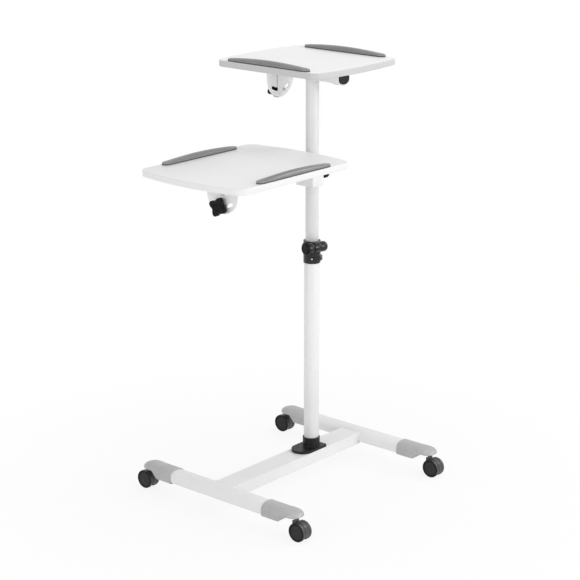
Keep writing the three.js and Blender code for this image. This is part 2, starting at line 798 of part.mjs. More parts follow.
// Star knob along X on a long screw
function knobGeometry(plateReach) {
  const outline = [];
  const middle = (knobDiameter + knobWaistDiameter) / 4;
  const swing = (knobDiameter - knobWaistDiameter) / 4;
  for (let i = 0; i < knobSteps; i += 1) {
    const angle = i / knobSteps * Math.PI * 2;
    const radius = middle + swing * Math.cos(knobLobes * (angle - knobTurn));
    outline.push(new THREE.Vector2(radius * Math.sin(angle), radius * Math.cos(angle)));
  }
  outline.reverse();
  const hubFrom = plateReach + gap;
  const starFrom = hubFrom + knobHubLength;
  const star = alongX(outline, starFrom, starFrom + knobThickness);
  const hub = rodX(knobHubDiameter / 2, hubFrom, starFrom + knobThickness / 2, wheelSteps);
  const bore = rodX(boltHole, hubFrom - overrun, hubFrom + knobBoreDepth + gap);
  return cut(join(star, hub), bore);
}

function knobScrewGeometry(plateReach) {
  const nutFrom = plateReach - plateThickness - plateSpacer - tongueThickness - nutHeight;
  return rodX(boltRadius, nutFrom - screwTail, plateReach + gap + knobBoreDepth);
}

// Shelf board about its own middle: straight long sides, bowed ends and rounded corners
function shelfOutline(length, width, bow) {
  const half = length / 2 - bow;
  const side = width / 2;
  const bowed = (y) => bow * (1 - (y / side) ** 2);
  const inner = side - shelfCorner;
  const right = [
    ...arc(half - shelfCorner, -inner, shelfCorner, shelfCorner, -Math.PI / 2, 0, cornerSteps),
    ...arc(half - shelfCorner, inner, shelfCorner, shelfCorner, 0, Math.PI / 2, cornerSteps),
  ];
  const ends = right.slice(0, cornerSteps + 1);
  for (let i = 1; i < curveSteps; i += 1) {
    const y = -inner + 2 * inner * i / curveSteps;
    ends.push(new THREE.Vector2(half, y));
  }
  ends.push(...right.slice(cornerSteps + 1));
  const bulged = ends.map((point) => {
    const share = (point.x - half + shelfCorner) / shelfCorner;
    return new THREE.Vector2(point.x + bowed(point.y) * share, point.y);
  });
  const mirrored = bulged.map((point) => new THREE.Vector2(-point.x, -point.y));
  return [...bulged, ...mirrored];
}

function shelfGeometry(shelf) {
  const outline = shelfOutline(shelf.length, shelf.width, shelf.bow);
  return alongZ(outline, boardUnderside, boardUnderside + shelfThickness)
    .translate(shelf.reach, shelfOffset, 0);
}

// Stop strip about its own middle: arched along its length, domed across, with rounded ends
function stopGeometry() {
  const half = stopLength / 2;
  const side = stopWidth / 2;
  const across = alongX([
    new THREE.Vector2(-side, 0),
    new THREE.Vector2(side, 0),
    ...arc(0, stopSide, side, stopHeight - stopSide, 0, Math.PI, curveSteps),
  ], -half, half);
  const arched = [new THREE.Vector2(-half, -overrun), new THREE.Vector2(half, -overrun)];
  for (let i = 0; i <= curveSteps; i += 1) {
    const share = 1 - 2 * i / curveSteps;
    const height = stopEndHeight + (stopHeight - stopEndHeight) * (1 - share ** 2);
    arched.push(new THREE.Vector2(half * share, height));
  }
  const elevation = alongY(arched, -side - overrun, side + overrun);
  const plan = alongZ([
    ...arc(half - stopEndRound, 0, stopEndRound, side, -Math.PI / 2, Math.PI / 2, curveSteps),
    ...arc(-half + stopEndRound, 0, stopEndRound, side, Math.PI / 2, Math.PI * 1.5, curveSteps),
  ], -overrun, stopHeight + overrun);
  return meet(across, elevation, plan);
}

// Everything that tilts or carries one shelf, built along X and turned into place
function addShelf(shelf) {
  const unit = new THREE.Group();
  unit.position.z = shelf.armCentre;
  unit.rotation.z = shelf.turn;
  postAxis.add(unit);
  const name = shelf.name;
  add(unit, `${name}_arm`, armGeometry(shelf.armStart, shelf.plateReach, shelf.saddleReach), whitePaint);
  add(unit, `${name}_tilt_plate`, tiltPlateGeometry(shelf.plateReach), whitePaint);
  add(unit, `${name}_hinge_bracket`, bracketGeometry(shelf.saddleReach), whitePaint);
  add(unit, `${name}_pivot_bolt`, pivotBoltGeometry(shelf.plateReach), zincSteel);
  add(unit, `${name}_hinge_pin`, hingePinGeometry(shelf.saddleReach), zincSteel);
  const knob = add(unit, `${name}_tilt_knob`, knobGeometry(shelf.plateReach), blackPlastic);
  const screw = add(unit, `${name}_knob_screw`, knobScrewGeometry(shelf.plateReach), zincSteel);
  knob.position.z = -clampBoltDrop;
  screw.position.z = -clampBoltDrop;
  add(unit, `${name}_shelf`, shelfGeometry(shelf), whiteBoard);
  [['near', 1], ['far', -1]].forEach(([side, sign]) => {
    const stop = add(unit, `${name}_stop_${side}`, stopGeometry(), darkGrey);
    const reach = shelf.width / 2 - stopMargin - stopWidth / 2;
    stop.position.set(shelf.reach, shelfOffset + sign * reach, boardUnderside + shelfThickness + gap);
  });
  return unit;
}

function addShelves() {
  addShelf({
    name: 'lower', armCentre: lowerArmCentre, turn: Math.PI, armStart: collarReach + gap,
    plateReach: lowerPlateReach, saddleReach: lowerSaddleReach, reach: lowerShelfReach,
    length: lowerShelfLength, width: lowerShelfWidth, bow: lowerShelfBow,
  });
  const upper = addShelf({
    name: 'upper', armCentre: upperArmCentre, turn: Math.PI / 2, armStart: -upperArmBack + armCapThickness,
    plateReach: upperPlateReach, saddleReach: upperSaddleReach, reach: upperShelfReach,
    length: upperShelfLength, width: upperShelfWidth, bow: upperShelfBow,
  });
  const cap = add(upper, 'upper_arm_cap', armCapGeometry(), blackPlastic);
  cap.position.x = -upperArmBack + armCapThickness - gap;
}

// Collar that carries the lower arm on the mast, and its locking knob
function collarGeometry() {
  const outline = [
    ...arc(0, 0, collarRadius, collarRadius, -Math.PI / 2, Math.PI / 2, postSteps / 2),
    ...corner(-collarReach + collarCorner, collarRadius - collarCorner, collarCorner, Math.PI / 2),
    ...corner(-collarReach + collarCorner, -collarRadius + collarCorner, collarCorner, Math.PI),
  ];
  const bore = circle(0, 0, mastRadius + gap, postSteps);
  const body = alongZ(outline, collarBottom, collarTop, bore);
  const screwHole = rodX(boltHole, 0, collarRadius + overrun).translate(0, 0, collarTop - collarKnobDrop);
  return cut(body, screwHole);
}

function collarKnobGeometry() {
  const radius = collarKnobDiameter / 2;
  const outline = [];
  const steps = collarKnobFlutes * fluteSteps;
  for (let i = 0; i < steps; i += 1) {
    const angle = i / steps * Math.PI * 2;
    const depth = collarKnobFluteDepth * (1 - Math.cos(collarKnobFlutes * angle)) / 2;
    outline.push(new THREE.Vector2((radius - depth) * Math.cos(angle), (radius - depth) * Math.sin(angle)));
  }
  const end = collarKnobReach + collarKnobLength;
  const head = alongX(outline, collarKnobReach, end);
  const hub = rodX(collarKnobHubDiameter / 2, collarRadius + gap, collarKnobReach + collarKnobLength / 2);
  const stud = rodX(boltRadius, mastRadius + gap, collarKnobReach + collarKnobLength / 2);
  return join(head, hub, stud);
}

function addCollar() {
  add(postAxis, 'carriage_collar', collarGeometry(), whitePaint);
  const knob = add(postAxis, 'carriage_knob', collarKnobGeometry(), blackPlastic);
  knob.position.z = collarTop - collarKnobDrop;
}

addBase();
addCastors();
addPost();
addClamp();
addShelves();
addCollar();

// The post stands off centre: the whole cart is centred between its outermost pieces and its castors
const leftEdge = -lowerShelfReach - lowerShelfLength / 2;
const rightEdge = rightLegReach + legWidth / 2 + capWall;
postAxis.position.set(-(leftEdge + rightEdge) / 2, legSetback, 0);

export default model;
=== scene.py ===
"""Builds the visual model of a mobile audio visual cart around its fixed frame.

The cart has an H-shaped base on four twin-wheel castors, a telescopic post and two tilting shelves.
Everything is in metres, +Z up, with +X along the cross beam and +Y along the legs.
"""

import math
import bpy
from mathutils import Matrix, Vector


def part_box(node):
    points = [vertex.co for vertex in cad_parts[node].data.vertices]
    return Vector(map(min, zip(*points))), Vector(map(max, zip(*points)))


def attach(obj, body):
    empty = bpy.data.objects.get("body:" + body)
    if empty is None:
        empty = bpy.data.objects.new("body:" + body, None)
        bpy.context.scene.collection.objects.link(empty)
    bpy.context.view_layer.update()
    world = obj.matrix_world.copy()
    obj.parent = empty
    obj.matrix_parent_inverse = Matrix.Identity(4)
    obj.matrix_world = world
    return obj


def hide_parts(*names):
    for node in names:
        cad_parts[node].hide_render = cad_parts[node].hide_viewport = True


bl_info = {
    "name": "Audio Visual Cart",
    "version": (1, 0, 0),
    "blender": (4, 5, 0),
    "location": "3D View > Sidebar > Cart",
    "description": "Builds a mobile cart with a castor base, a telescopic post and two tilting shelves",
    "category": "Add Mesh",
}

import bmesh
import bpy
from bpy.props import FloatProperty, FloatVectorProperty, IntProperty, PointerProperty
from mathutils import Matrix, Vector

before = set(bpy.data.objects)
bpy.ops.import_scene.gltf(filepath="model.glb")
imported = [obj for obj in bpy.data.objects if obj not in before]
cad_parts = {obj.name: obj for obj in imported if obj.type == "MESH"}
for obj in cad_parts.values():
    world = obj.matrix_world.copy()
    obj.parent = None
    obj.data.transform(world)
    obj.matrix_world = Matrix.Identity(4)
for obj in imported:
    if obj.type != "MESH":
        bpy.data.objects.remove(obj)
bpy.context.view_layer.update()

SIDES = ("left", "right")
ENDS = ("front", "back")
CARRIERS = {"lower": "carriage", "upper": "mast"}
UP = Vector((0, 0, 1))

# Along each shelf's arm towards its star knob, and across it
OUTWARD = {"lower": Vector((-1, 0, 0)), "upper": Vector((0, 1, 0))}
ACROSS = {"lower": Vector((0, 1, 0)), "upper": Vector((1, 0, 0))}

HALF_TURN = math.pi
QUARTER_TURN = math.pi / 2
JOIN_DISTANCE = 1e-6
SLIVER = 0.0004


# Places and sizes read from the frame


def corners(node):
    """The lowest and highest corner of a node at rest."""
    low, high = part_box(node)
    return Vector(low), Vector(high)


def middle(node):
    low, high = corners(node)
    return (low + high) / 2


def extent(node):
    low, high = corners(node)
    return high - low


POST = middle("mast_tube")
POST_AXIS = Vector((POST.x, POST.y, 0))


# User settings


class CartSizes(bpy.types.PropertyGroup):
    """Sizes of the rounded edges and small details"""

    board_edge: FloatProperty(
        name="Board edge", description="Radius of the rounded edges of the shelf boards",
        default=0.0022, min=0.0002, max=0.006, unit="LENGTH")
    plate_edge: FloatProperty(
        name="Plate edge", description="Width of the softened edges of steel plates",
        default=0.0005, min=0.0001, max=0.0012, unit="LENGTH")
    moulded_edge: FloatProperty(
        name="Moulded edge", description="Width of the rounded edges of moulded plastic",
        default=0.0009, min=0.0001, max=0.002, unit="LENGTH")
    leg_crown_width: FloatProperty(
        name="Leg crown width", description="Width of each rounded top corner of the legs",
        default=0.020, min=0.005, max=0.023, unit="LENGTH")
    leg_crown_height: FloatProperty(
        name="Leg crown height", description="Height of each rounded top corner of the legs",
        default=0.013, min=0.004, max=0.015, unit="LENGTH")
    leg_foot_radius: FloatProperty(
        name="Leg foot radius", description="Radius of the lower corners of the legs",
        default=0.007, min=0.002, max=0.012, unit="LENGTH")
    screw_head: FloatProperty(
        name="Screw head", description="Diameter of the wood screw heads under the shelves",
        default=0.0085, min=0.004, max=0.012, unit="LENGTH")
    weld_radius: FloatProperty(
        name="Weld radius", description="Radius of the painted weld beads",
        default=0.0016, min=0.0005, max=0.003, unit="LENGTH")
    round_steps: IntProperty(
        name="Round steps", description="Number of facets around tubes and wheels",
        default=96, min=24, max=192)


class CartColours(bpy.types.PropertyGroup):
    """Colours of the finishes"""

    paint: FloatVectorProperty(
        name="Paint", description="Powder coat on the steel frame",
        subtype="COLOR", size=3, default=(0.84, 0.84, 0.838), min=0, max=1)
    board: FloatVectorProperty(
        name="Board", description="Laminate on the shelf boards",
        subtype="COLOR", size=3, default=(0.9, 0.9, 0.897), min=0, max=1)
    grey: FloatVectorProperty(
        name="Grey", description="Plastic of the end caps",
        subtype="COLOR", size=3, default=(0.44, 0.44, 0.445), min=0, max=1)
    stop: FloatVectorProperty(
        name="Stop", description="Plastic of the edge stops",
        subtype="COLOR", size=3, default=(0.205, 0.205, 0.21), min=0, max=1)
    black: FloatVectorProperty(
        name="Black", description="Plastic of the knobs, clamp, foot and castors",
        subtype="COLOR", size=3, default=(0.010, 0.010, 0.0105), min=0, max=1)
    steel: FloatVectorProperty(
        name="Steel", description="Zinc plated screws, bolts and pins",
        subtype="COLOR", size=3, default=(0.60, 0.60, 0.61), min=0, max=1)


class CartStudio(bpy.types.PropertyGroup):
    """Strengths of the lamps and the sky"""

    softbox_power: FloatProperty(
        name="Softbox power", description="Power of the softbox before the beam", default=50.0, unit="POWER")
    fill_power: FloatProperty(
        name="Fill power", description="Power of the softbox on the lower shelf's side", default=34.0,
        unit="POWER")
    rim_power: FloatProperty(
        name="Rim power", description="Power of the lamp behind the right leg", default=34.0, unit="POWER")
    top_power: FloatProperty(
        name="Top power", description="Power of the lamp above the cart", default=16.0, unit="POWER")
    sky_strength: FloatProperty(
        name="Sky strength", description="Strength of the even light from all round", default=0.58)


# Nodes of materials and of Geometry Nodes trees


def add_node(tree, kind, inputs=None, **settings):
    """A node with its settings, and each input given as a value or as another node's output."""
    node = tree.nodes.new(kind)
    for name, value in settings.items():
        setattr(node, name, value)
    for name, value in (inputs or {}).items():
        if isinstance(value, bpy.types.NodeSocket):
            tree.links.new(value, node.inputs[name])
        else:
            node.inputs[name].default_value = value
    return node


def maths(tree, operation, *values, **settings):
    node = add_node(tree, "ShaderNodeMath", dict(enumerate(values)), operation=operation, **settings)
    return node.outputs["Value"]


def of_type(sockets, kind, name=None):
    """The sockets of one type, on a node that has several with the same name."""
    return [socket for socket in sockets if socket.type == kind and name in (None, socket.name)]


# Materials


def new_material(name, colour, values):
    """A material with its even values on the shader's own sockets, and its node tree."""
    material = bpy.data.materials.new(name)
    material.use_nodes = True
    tree = material.node_tree
    for socket, value in {"Base Color": (*colour, 1), **values}.items():
        shader_inputs(tree)[socket].default_value = value
    return material, tree


def shader_inputs(tree):
    return tree.nodes["Principled BSDF"].inputs


def noise(tree, scale, detail, roughness=0.5, stretch=(1, 1, 1)):
    """Noise over the object's own coordinates, with its scale in lumps per metre."""
    place = add_node(tree, "ShaderNodeTexCoord").outputs["Object"]
    stretched = add_node(tree, "ShaderNodeMapping", {"Vector": place, "Scale": stretch})
    texture = add_node(tree, "ShaderNodeTexNoise", {
        "Vector": stretched.outputs["Vector"], "Scale": scale, "Detail": detail, "Roughness": roughness})
    return texture.outputs["Fac"]


def spread(tree, source, low, high, start=0.3, end=0.7):
    """Maps a source's values from start to end onto a range from low to high."""
    node = add_node(tree, "ShaderNodeMapRange", {
        "Value": source, "From Min": start, "From Max": end, "To Min": low, "To Max": high})
    return node.outputs["Result"]


def shade(colour, factor):
    return tuple(min(1.0, channel * factor) for channel in colour)


def mottle(tree, source, dark, light):
    """Runs the base colour between two close shades."""
    mix = add_node(tree, "ShaderNodeMix", {"Factor": source}, data_type="RGBA")
    for socket, tone in zip(of_type(mix.inputs, "RGBA"), (dark, light)):
        socket.default_value = (*tone, 1)
    tree.links.new(of_type(mix.outputs, "RGBA")[0], shader_inputs(tree)["Base Color"])


def roughen(tree, source, low, high):
    tree.links.new(spread(tree, source, low, high), shader_inputs(tree)["Roughness"])


def bump(tree, *layers):
    """Stacks bumps, each given as a height source, its depth in metres and its strength."""
    below = {}
    for source, depth, strength in layers:
        node = add_node(tree, "ShaderNodeBump", {
            "Height": source, "Distance": depth, "Strength": strength, **below})
        below = {"Normal": node.outputs["Normal"]}
    tree.links.new(below["Normal"], shader_inputs(tree)["Normal"])


def rubbed_edges(tree, patches, amount):
    """The mesh's own sharp edges, broken up by patches."""
    geometry = add_node(tree, "ShaderNodeNewGeometry")
    edge = spread(tree, geometry.outputs["Pointiness"], 0.0, amount, start=0.52, end=0.6)
    return maths(tree, "MULTIPLY", edge, patches)


def powder_coat(name, colour):
    """White powder coat: fine orange peel, faint clouding and handling marks."""
    material, tree = new_material(name, colour, {
        "Roughness": 0.4, "Coat Weight": 0.12, "Coat Roughness": 0.2})
    cloud = spread(tree, noise(tree, scale=9, detail=4), 0, 1)
    mottle(tree, cloud, shade(colour, 0.965), shade(colour, 1.02))
    roughen(tree, noise(tree, scale=60, detail=4), 0.36, 0.46)
    peel = noise(tree, scale=900, detail=2)
    ripple = noise(tree, scale=160, detail=2)
    bump(tree, (peel, 0.00006, 0.5), (ripple, 0.00008, 0.25))
    return material


def laminate(name, colour, roughest=0.42):
    """Melamine laminate: satin, with a fine pearl grain and faint scuffs."""
    material, tree = new_material(name, colour, {"Roughness": 0.39})
    cloud = spread(tree, noise(tree, scale=5, detail=3), 0, 1)
    mottle(tree, cloud, shade(colour, 0.985), shade(colour, 1.01))
    scuff = noise(tree, scale=40, detail=5, roughness=0.6, stretch=(1, 6, 1))
    roughen(tree, scuff, 0.36, roughest)
    bump(tree, (noise(tree, scale=1400, detail=2), 0.00001, 0.2))
    return material


def moulded(name, colour, rough, grain, depth, wear, gloss):
    """Moulded plastic: fine spark grain, uneven gloss and paler rubbed edges."""
    material, tree = new_material(name, colour, {"Roughness": rough, "Specular IOR Level": gloss})
    cloud = spread(tree, noise(tree, scale=26, detail=4), 0, 0.35)
    patches = spread(tree, noise(tree, scale=180, detail=4), 0.2, 1)
    total = maths(tree, "ADD", cloud, rubbed_edges(tree, patches, wear), use_clamp=True)
    mottle(tree, total, shade(colour, 0.9), tuple(channel * 1.25 + 0.008 for channel in colour))
    roughen(tree, noise(tree, scale=90, detail=4), rough - 0.03, rough + 0.08)
    bump(tree, (noise(tree, scale=grain, detail=2), depth, 0.55))
    return material


def zinc(name, colour):
    """Zinc plated steel: bright, with fine turned lines and a clouded passivation."""
    material, tree = new_material(name, colour, {"Roughness": 0.3, "Metallic": 1.0})
    cloud = spread(tree, noise(tree, scale=220, detail=3), 0, 1)
    mottle(tree, cloud, shade(colour, 0.82), shade(colour, 1.08))
    roughen(tree, noise(tree, scale=500, detail=3), 0.22, 0.42)
    bump(tree, (noise(tree, scale=2500, detail=2, stretch=(1, 1, 8)), 0.00003, 0.4))
    return material


# For each colour setting: its slot and what makes its finishes
MAKERS = {
    "paint": ("white_paint", powder_coat), "board": ("white_board", laminate),
    "grey": ("grey_plastic", moulded), "stop": ("dark_plastic", moulded),
    "black": ("black_plastic", moulded), "steel": ("zinc_steel", zinc),
}

# For each finish: its colour setting, how far that is shaded, and its maker's own values
FINISHES = {
    "white_powder_coat": ("paint", 1, {}),
    # The mast's coat is the frame's paint made 13% darker, as painted shade from the boards
    "mast_powder_coat": ("paint", 0.87, {}),
    # The upper board's laminate is 8% lighter than the lower's, as painted light: the lower board lies in the
    # upper one's shade
    "lower_laminate": ("board", 1, {}),
    "upper_laminate": ("board", 1.08, {}),
    # The boards' edge faces take copies of the laminate 7% and 34% darker, as painted shade
    "lower_edge_band": ("board", 0.93, dict(roughest=0.48)),
    "upper_edge_band": ("board", 0.66, dict(roughest=0.48)),
    "grey_cap_plastic": ("grey", 1, dict(rough=0.33, grain=1500, depth=0.00004, wear=0.5, gloss=0.8)),
    "grey_stop_plastic": ("stop", 1, dict(rough=0.3, grain=1700, depth=0.00002, wear=0.35, gloss=0.8)),
    # The stop's seat is the stop colour at a fifth, a painted contact shadow where the stop meets the board
    "stop_seat_rubber": ("stop", 0.2, dict(rough=0.75, grain=1200, depth=0.00008, wear=0.1, gloss=0.5)),
    "knob_plastic": ("black", 0.55, dict(rough=0.42, grain=1300, depth=0.00006, wear=0.3, gloss=0.12)),
    "black_grained_plastic": ("black", 1, dict(rough=0.36, grain=1300, depth=0.00006, wear=0.35, gloss=0.22)),
    "glossy_black_plastic": ("black", 0.3, dict(rough=0.17, grain=1300, depth=0.00002, wear=0.2, gloss=0.45)),
    "castor_rim_plastic": ("black", 0.6, dict(rough=0.4, grain=900, depth=0.00006, wear=0.2, gloss=0.15)),
    # Treads and hoods are the black made five times lighter, a painted sheen for the highlights they catch
    "castor_tread_plastic": ("black", 5, dict(rough=0.34, grain=900, depth=0.00008, wear=0.3, gloss=0.5)),
    "castor_face_plastic": ("black", 2, dict(rough=0.6, grain=1100, depth=0.00008, wear=0.2, gloss=0.3)),
    "zinc_plate": ("steel", 1, {}),
}


def finish(name):
    """A finish by name, made once."""
    if name in bpy.data.materials:
        return bpy.data.materials[name]
    setting, factor, values = FINISHES[name]
    colour = getattr(bpy.context.scene.cart_colours, setting)
    return MAKERS[setting][1](name, shade(colour, factor), **values)


# Mesh helpers


def arc(x, y, radius_x, radius_y, start, end, steps):
    """Points on a part of an ellipse, both ends included."""
    angles = [start + (end - start) * i / steps for i in range(steps + 1)]
    return [(x + radius_x * math.cos(a), y + radius_y * math.sin(a)) for a in angles]


def neighbours(loops, closed):
    """Pairs of neighbouring loops, with the last and the first where the row is closed."""
    return list(zip(loops, loops[1:])) + ([(loops[-1], loops[0])] if closed else [])


def skin(bm, rings, closed=False):
    """Joins rings that have the same number of points, and caps both ends of an open row."""
    loops = [[bm.verts.new(point) for point in points] for points in rings]
    for near, far in neighbours(loops, closed):
        for i, start in enumerate(near):
            j = (i + 1) % len(near)
            bm.faces.new((start, near[j], far[j], far[i]))
    if not closed:
        bm.faces.new(list(reversed(loops[0])))
        bm.faces.new(loops[-1])


def turn(bm, profile, steps, closed=False):
    """Turns a profile of (radius, height) points round Z. A radius of zero is a pole."""
    loops = []
    for radius, height in profile:
        count = steps if radius > 0 else 1
        angles = [math.tau * i / count for i in range(count)]
        loops.append([bm.verts.new((radius * math.cos(a), radius * math.sin(a), height)) for a in angles])
    for near, far in neighbours(loops, closed):
        for i in range(steps):
            j = (i + 1) % steps
            quad = [near[i % len(near)], near[j % len(near)], far[j % len(far)], far[i % len(far)]]
            face = [vert for k, vert in enumerate(quad) if vert not in quad[:k]]
            if len(face) > 2:
                bm.faces.new(face)


def absorb(bm, other):
    """Adds another mesh in the making to this one."""
    scrap = bpy.data.meshes.new("scrap")
    other.to_mesh(scrap)
    other.free()
    bm.from_mesh(scrap)
    bpy.data.meshes.remove(scrap)


def aimed(axis, place):
    """A matrix that turns +Z onto an axis and moves the origin to a place."""
    turned = UP.rotation_difference(axis).to_matrix().to_4x4()
    return Matrix.Translation(place) @ turned


def tidy_mesh(bm):
    bmesh.ops.remove_doubles(bm, verts=bm.verts, dist=JOIN_DISTANCE)
    bmesh.ops.recalc_face_normals(bm, faces=bm.faces)


def add_object(name, data):
    piece = bpy.data.objects.new(name, data)
    bpy.context.scene.collection.objects.link(piece)
    return piece


def make_object(name, bm, matrix=Matrix.Identity(4)):
    """A linked object at the origin that holds the given mesh, moved by a matrix."""
    mesh = bpy.data.meshes.new(name)
    bm.to_mesh(mesh)
    bm.free()
    mesh.transform(matrix)
    return add_object(name, mesh)


def settle(piece):
    """Turns a piece's modifiers into plain mesh."""
    bpy.context.view_layer.update()
    graph = bpy.context.evaluated_depsgraph_get()
    mesh = bpy.data.meshes.new_from_object(piece.evaluated_get(graph), preserve_all_data_layers=True,
                                           depsgraph=graph)
    piece.modifiers.clear()
    piece.data = mesh
    mesh.name = piece.name
    return piece


def ease(piece, width, steps, degrees=35):
    """Rounds the edges of a piece that are sharper than an angle."""
    bevel = piece.modifiers.new("Eased edges", "BEVEL")
    bevel.width = width
    bevel.segments = steps
    bevel.limit_method = "ANGLE"
    bevel.angle_limit = math.radians(degrees)
    bevel.miter_outer = "MITER_ARC"
    return settle(piece)


def smooth(piece, degrees=32):
    """Smooth shading, with sharp edges kept and large flat faces left flat."""
    most_corners = 8
    mesh = piece.data
    mesh.shade_smooth()
    mesh.set_sharp_from_angle(angle=math.radians(degrees))
    edges = {tuple(sorted(edge.vertices)): edge for edge in mesh.edges}
    for face in mesh.polygons:
        if len(face.vertices) > most_corners:
            for key in face.edge_keys:
                edges[tuple(sorted(key))].use_edge_sharp = True
    return piece


def smooth_object(name, bm, degrees=32, matrix=Matrix.Identity(4)):
    tidy_mesh(bm)
    return smooth(make_object(name, bm, matrix), degrees)


def dress(piece, body, node, *finishes):
    """Gives a piece its finishes, its body and the node that it stands for, if there is one."""
    piece.data.materials.clear()
    for name in finishes:
        piece.data.materials.append(finish(name))
    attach(piece, body)
    if node:
        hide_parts(node)
    return piece


def eased_node(node, body, finish_name, width, steps=2):
    """A node's own shape, with its flat faces made whole and its edges softened."""
    bm = bmesh.new()
    bm.from_mesh(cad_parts[node].data)
    bmesh.ops.remove_doubles(bm, verts=bm.verts, dist=JOIN_DISTANCE)
    bmesh.ops.dissolve_limit(bm, angle_limit=math.radians(0.5), verts=bm.verts, edges=bm.edges)
    piece = ease(make_object(f"{node}_finished", bm), width, steps)
    return dress(smooth(piece), body, node, finish_name)


# Geometry Nodes for what repeats


def start_tree(name, sockets):
    """A Geometry Nodes tree with named inputs, and the outputs of its input node."""
    tree = bpy.data.node_groups.new(name, "GeometryNodeTree")
    for socket, kind in {"Geometry": "Geometry", **sockets}.items():
        tree.interface.new_socket(socket, in_out="INPUT", socket_type=f"NodeSocket{kind}")
    tree.interface.new_socket("Geometry", in_out="OUTPUT", socket_type="NodeSocketGeometry")
    return tree, add_node(tree, "NodeGroupInput").outputs


def end_tree(tree, geometry, material):
    """Makes a tree's instances real, gives them their finish and sends them out."""
    real = add_node(tree, "GeometryNodeRealizeInstances", {"Geometry": geometry})
    painted = add_node(tree, "GeometryNodeSetMaterial", {
        "Geometry": real.outputs["Geometry"], "Material": material})
    add_node(tree, "NodeGroupOutput", {"Geometry": painted.outputs["Geometry"]})
    return tree


def screw_tree():
    """Geometry Nodes tree that sets cross-recessed screw heads on the points of a mesh, heads down."""
    tree, given = start_tree("Screw heads", {
        "Head diameter": "Float", "Head height": "Float", "Recess": "Float", "Finish": "Material",
        "Seed": "Int"})
    segments, rings, slot_share = 24, 12, 0.4
    height = given["Head height"]
    radius = maths(tree, "MULTIPLY", given["Head diameter"], 0.5)
    ball = add_node(tree, "GeometryNodeMeshUVSphere", {
        "Segments": segments, "Rings": rings, "Radius": radius})
    flatness = add_node(tree, "ShaderNodeCombineXYZ", {
        "X": 1, "Y": 1, "Z": maths(tree, "DIVIDE", height, radius)})
    dome = add_node(tree, "GeometryNodeTransform", {
        "Geometry": ball.outputs["Mesh"], "Scale": flatness.outputs["Vector"]})
    slot_size = add_node(tree, "ShaderNodeCombineXYZ", {
        "X": radius, "Y": maths(tree, "MULTIPLY", height, slot_share), "Z": height})
    slot_place = add_node(tree, "ShaderNodeCombineXYZ", {
        "Z": maths(tree, "MULTIPLY", given["Recess"], -1)})
    head = add_node(tree, "GeometryNodeMeshBoolean", {"Mesh 1": dome.outputs["Geometry"]},
                    operation="DIFFERENCE", solver="EXACT")
    for turned in (0, QUARTER_TURN):
        bar = add_node(tree, "GeometryNodeMeshCube", {"Size": slot_size.outputs["Vector"]})
        slot = add_node(tree, "GeometryNodeTransform", {
            "Geometry": bar.outputs["Mesh"], "Translation": slot_place.outputs["Vector"],
            "Rotation": (0, 0, turned)})
        tree.links.new(slot.outputs["Geometry"], head.inputs["Mesh 2"])
    chance = add_node(tree, "FunctionNodeRandomValue", {"Seed": given["Seed"]}, data_type="FLOAT")
    of_type(chance.inputs, "VALUE", "Max")[0].default_value = QUARTER_TURN
    angle = add_node(tree, "ShaderNodeCombineXYZ", {"Z": of_type(chance.outputs, "VALUE")[0]})
    screws = add_node(tree, "GeometryNodeInstanceOnPoints", {
        "Points": given["Geometry"], "Instance": head.outputs["Mesh"],
        "Rotation": angle.outputs["Vector"]})
    return end_tree(tree, screws.outputs["Instances"], given["Finish"])


def bead_tree():
    """Geometry Nodes tree that runs an uneven weld bead along the edges of a mesh."""
    tree, given = start_tree("Weld bead", {
        "Bead radius": "Float", "Ripple length": "Float", "Ripple depth": "Float", "Finish": "Material"})
    facets = 12
    line = add_node(tree, "GeometryNodeMeshToCurve", {"Mesh": given["Geometry"]})
    step = maths(tree, "MULTIPLY", given["Ripple length"], 0.25)
    even = add_node(tree, "GeometryNodeResampleCurve", {"Curve": line.outputs["Curve"], "Length": step},
                    mode="LENGTH")
    number = add_node(tree, "GeometryNodeInputIndex").outputs["Index"]
    wave = maths(tree, "COSINE", maths(tree, "MULTIPLY", number, QUARTER_TURN))
    swell = maths(tree, "MULTIPLY_ADD", wave, given["Ripple depth"], given["Bead radius"])
    circle = add_node(tree, "GeometryNodeCurvePrimitiveCircle", {"Resolution": facets, "Radius": 1})
    bead = add_node(tree, "GeometryNodeCurveToMesh", {
        "Curve": even.outputs["Curve"], "Profile Curve": circle.outputs["Curve"], "Scale": swell,
        "Fill Caps": True})
    return end_tree(tree, bead.outputs["Mesh"], given["Finish"])


def grow(name, points, edges, tree, values):
    """Runs a Geometry Nodes tree on points and edges and keeps the result as plain mesh."""
    mesh = bpy.data.meshes.new(name)
    mesh.from_pydata([tuple(point) for point in points], edges, [])
    piece = add_object(name, mesh)
    modifier = piece.modifiers.new("Growth", "NODES")
    modifier.node_group = tree
    for item in tree.interface.items_tree:
        if item.in_out == "INPUT" and item.name in values:
            modifier[item.identifier] = values[item.name]
    return settle(piece)


def make_bead(name, body, points, closed, sizes):
    """A painted weld bead along a line of points."""
    ripple_length, ripple_share = 0.0022, 0.14
    count = len(points)
    edges = [(i, (i + 1) % count) for i in range(count if closed else count - 1)]
    tree = bpy.data.node_groups.get("Weld bead") or bead_tree()
    piece = grow(name, points, edges, tree, {
        "Bead radius": sizes.weld_radius, "Ripple length": ripple_length,
        "Ripple depth": sizes.weld_radius * ripple_share, "Finish": finish("white_powder_coat")})
    bm = bmesh.new()
    bm.from_mesh(piece.data)
    tidy_mesh(bm)
    bm.to_mesh(piece.data)
    bm.free()
    return dress(smooth(piece, 60), body, None, "white_powder_coat")


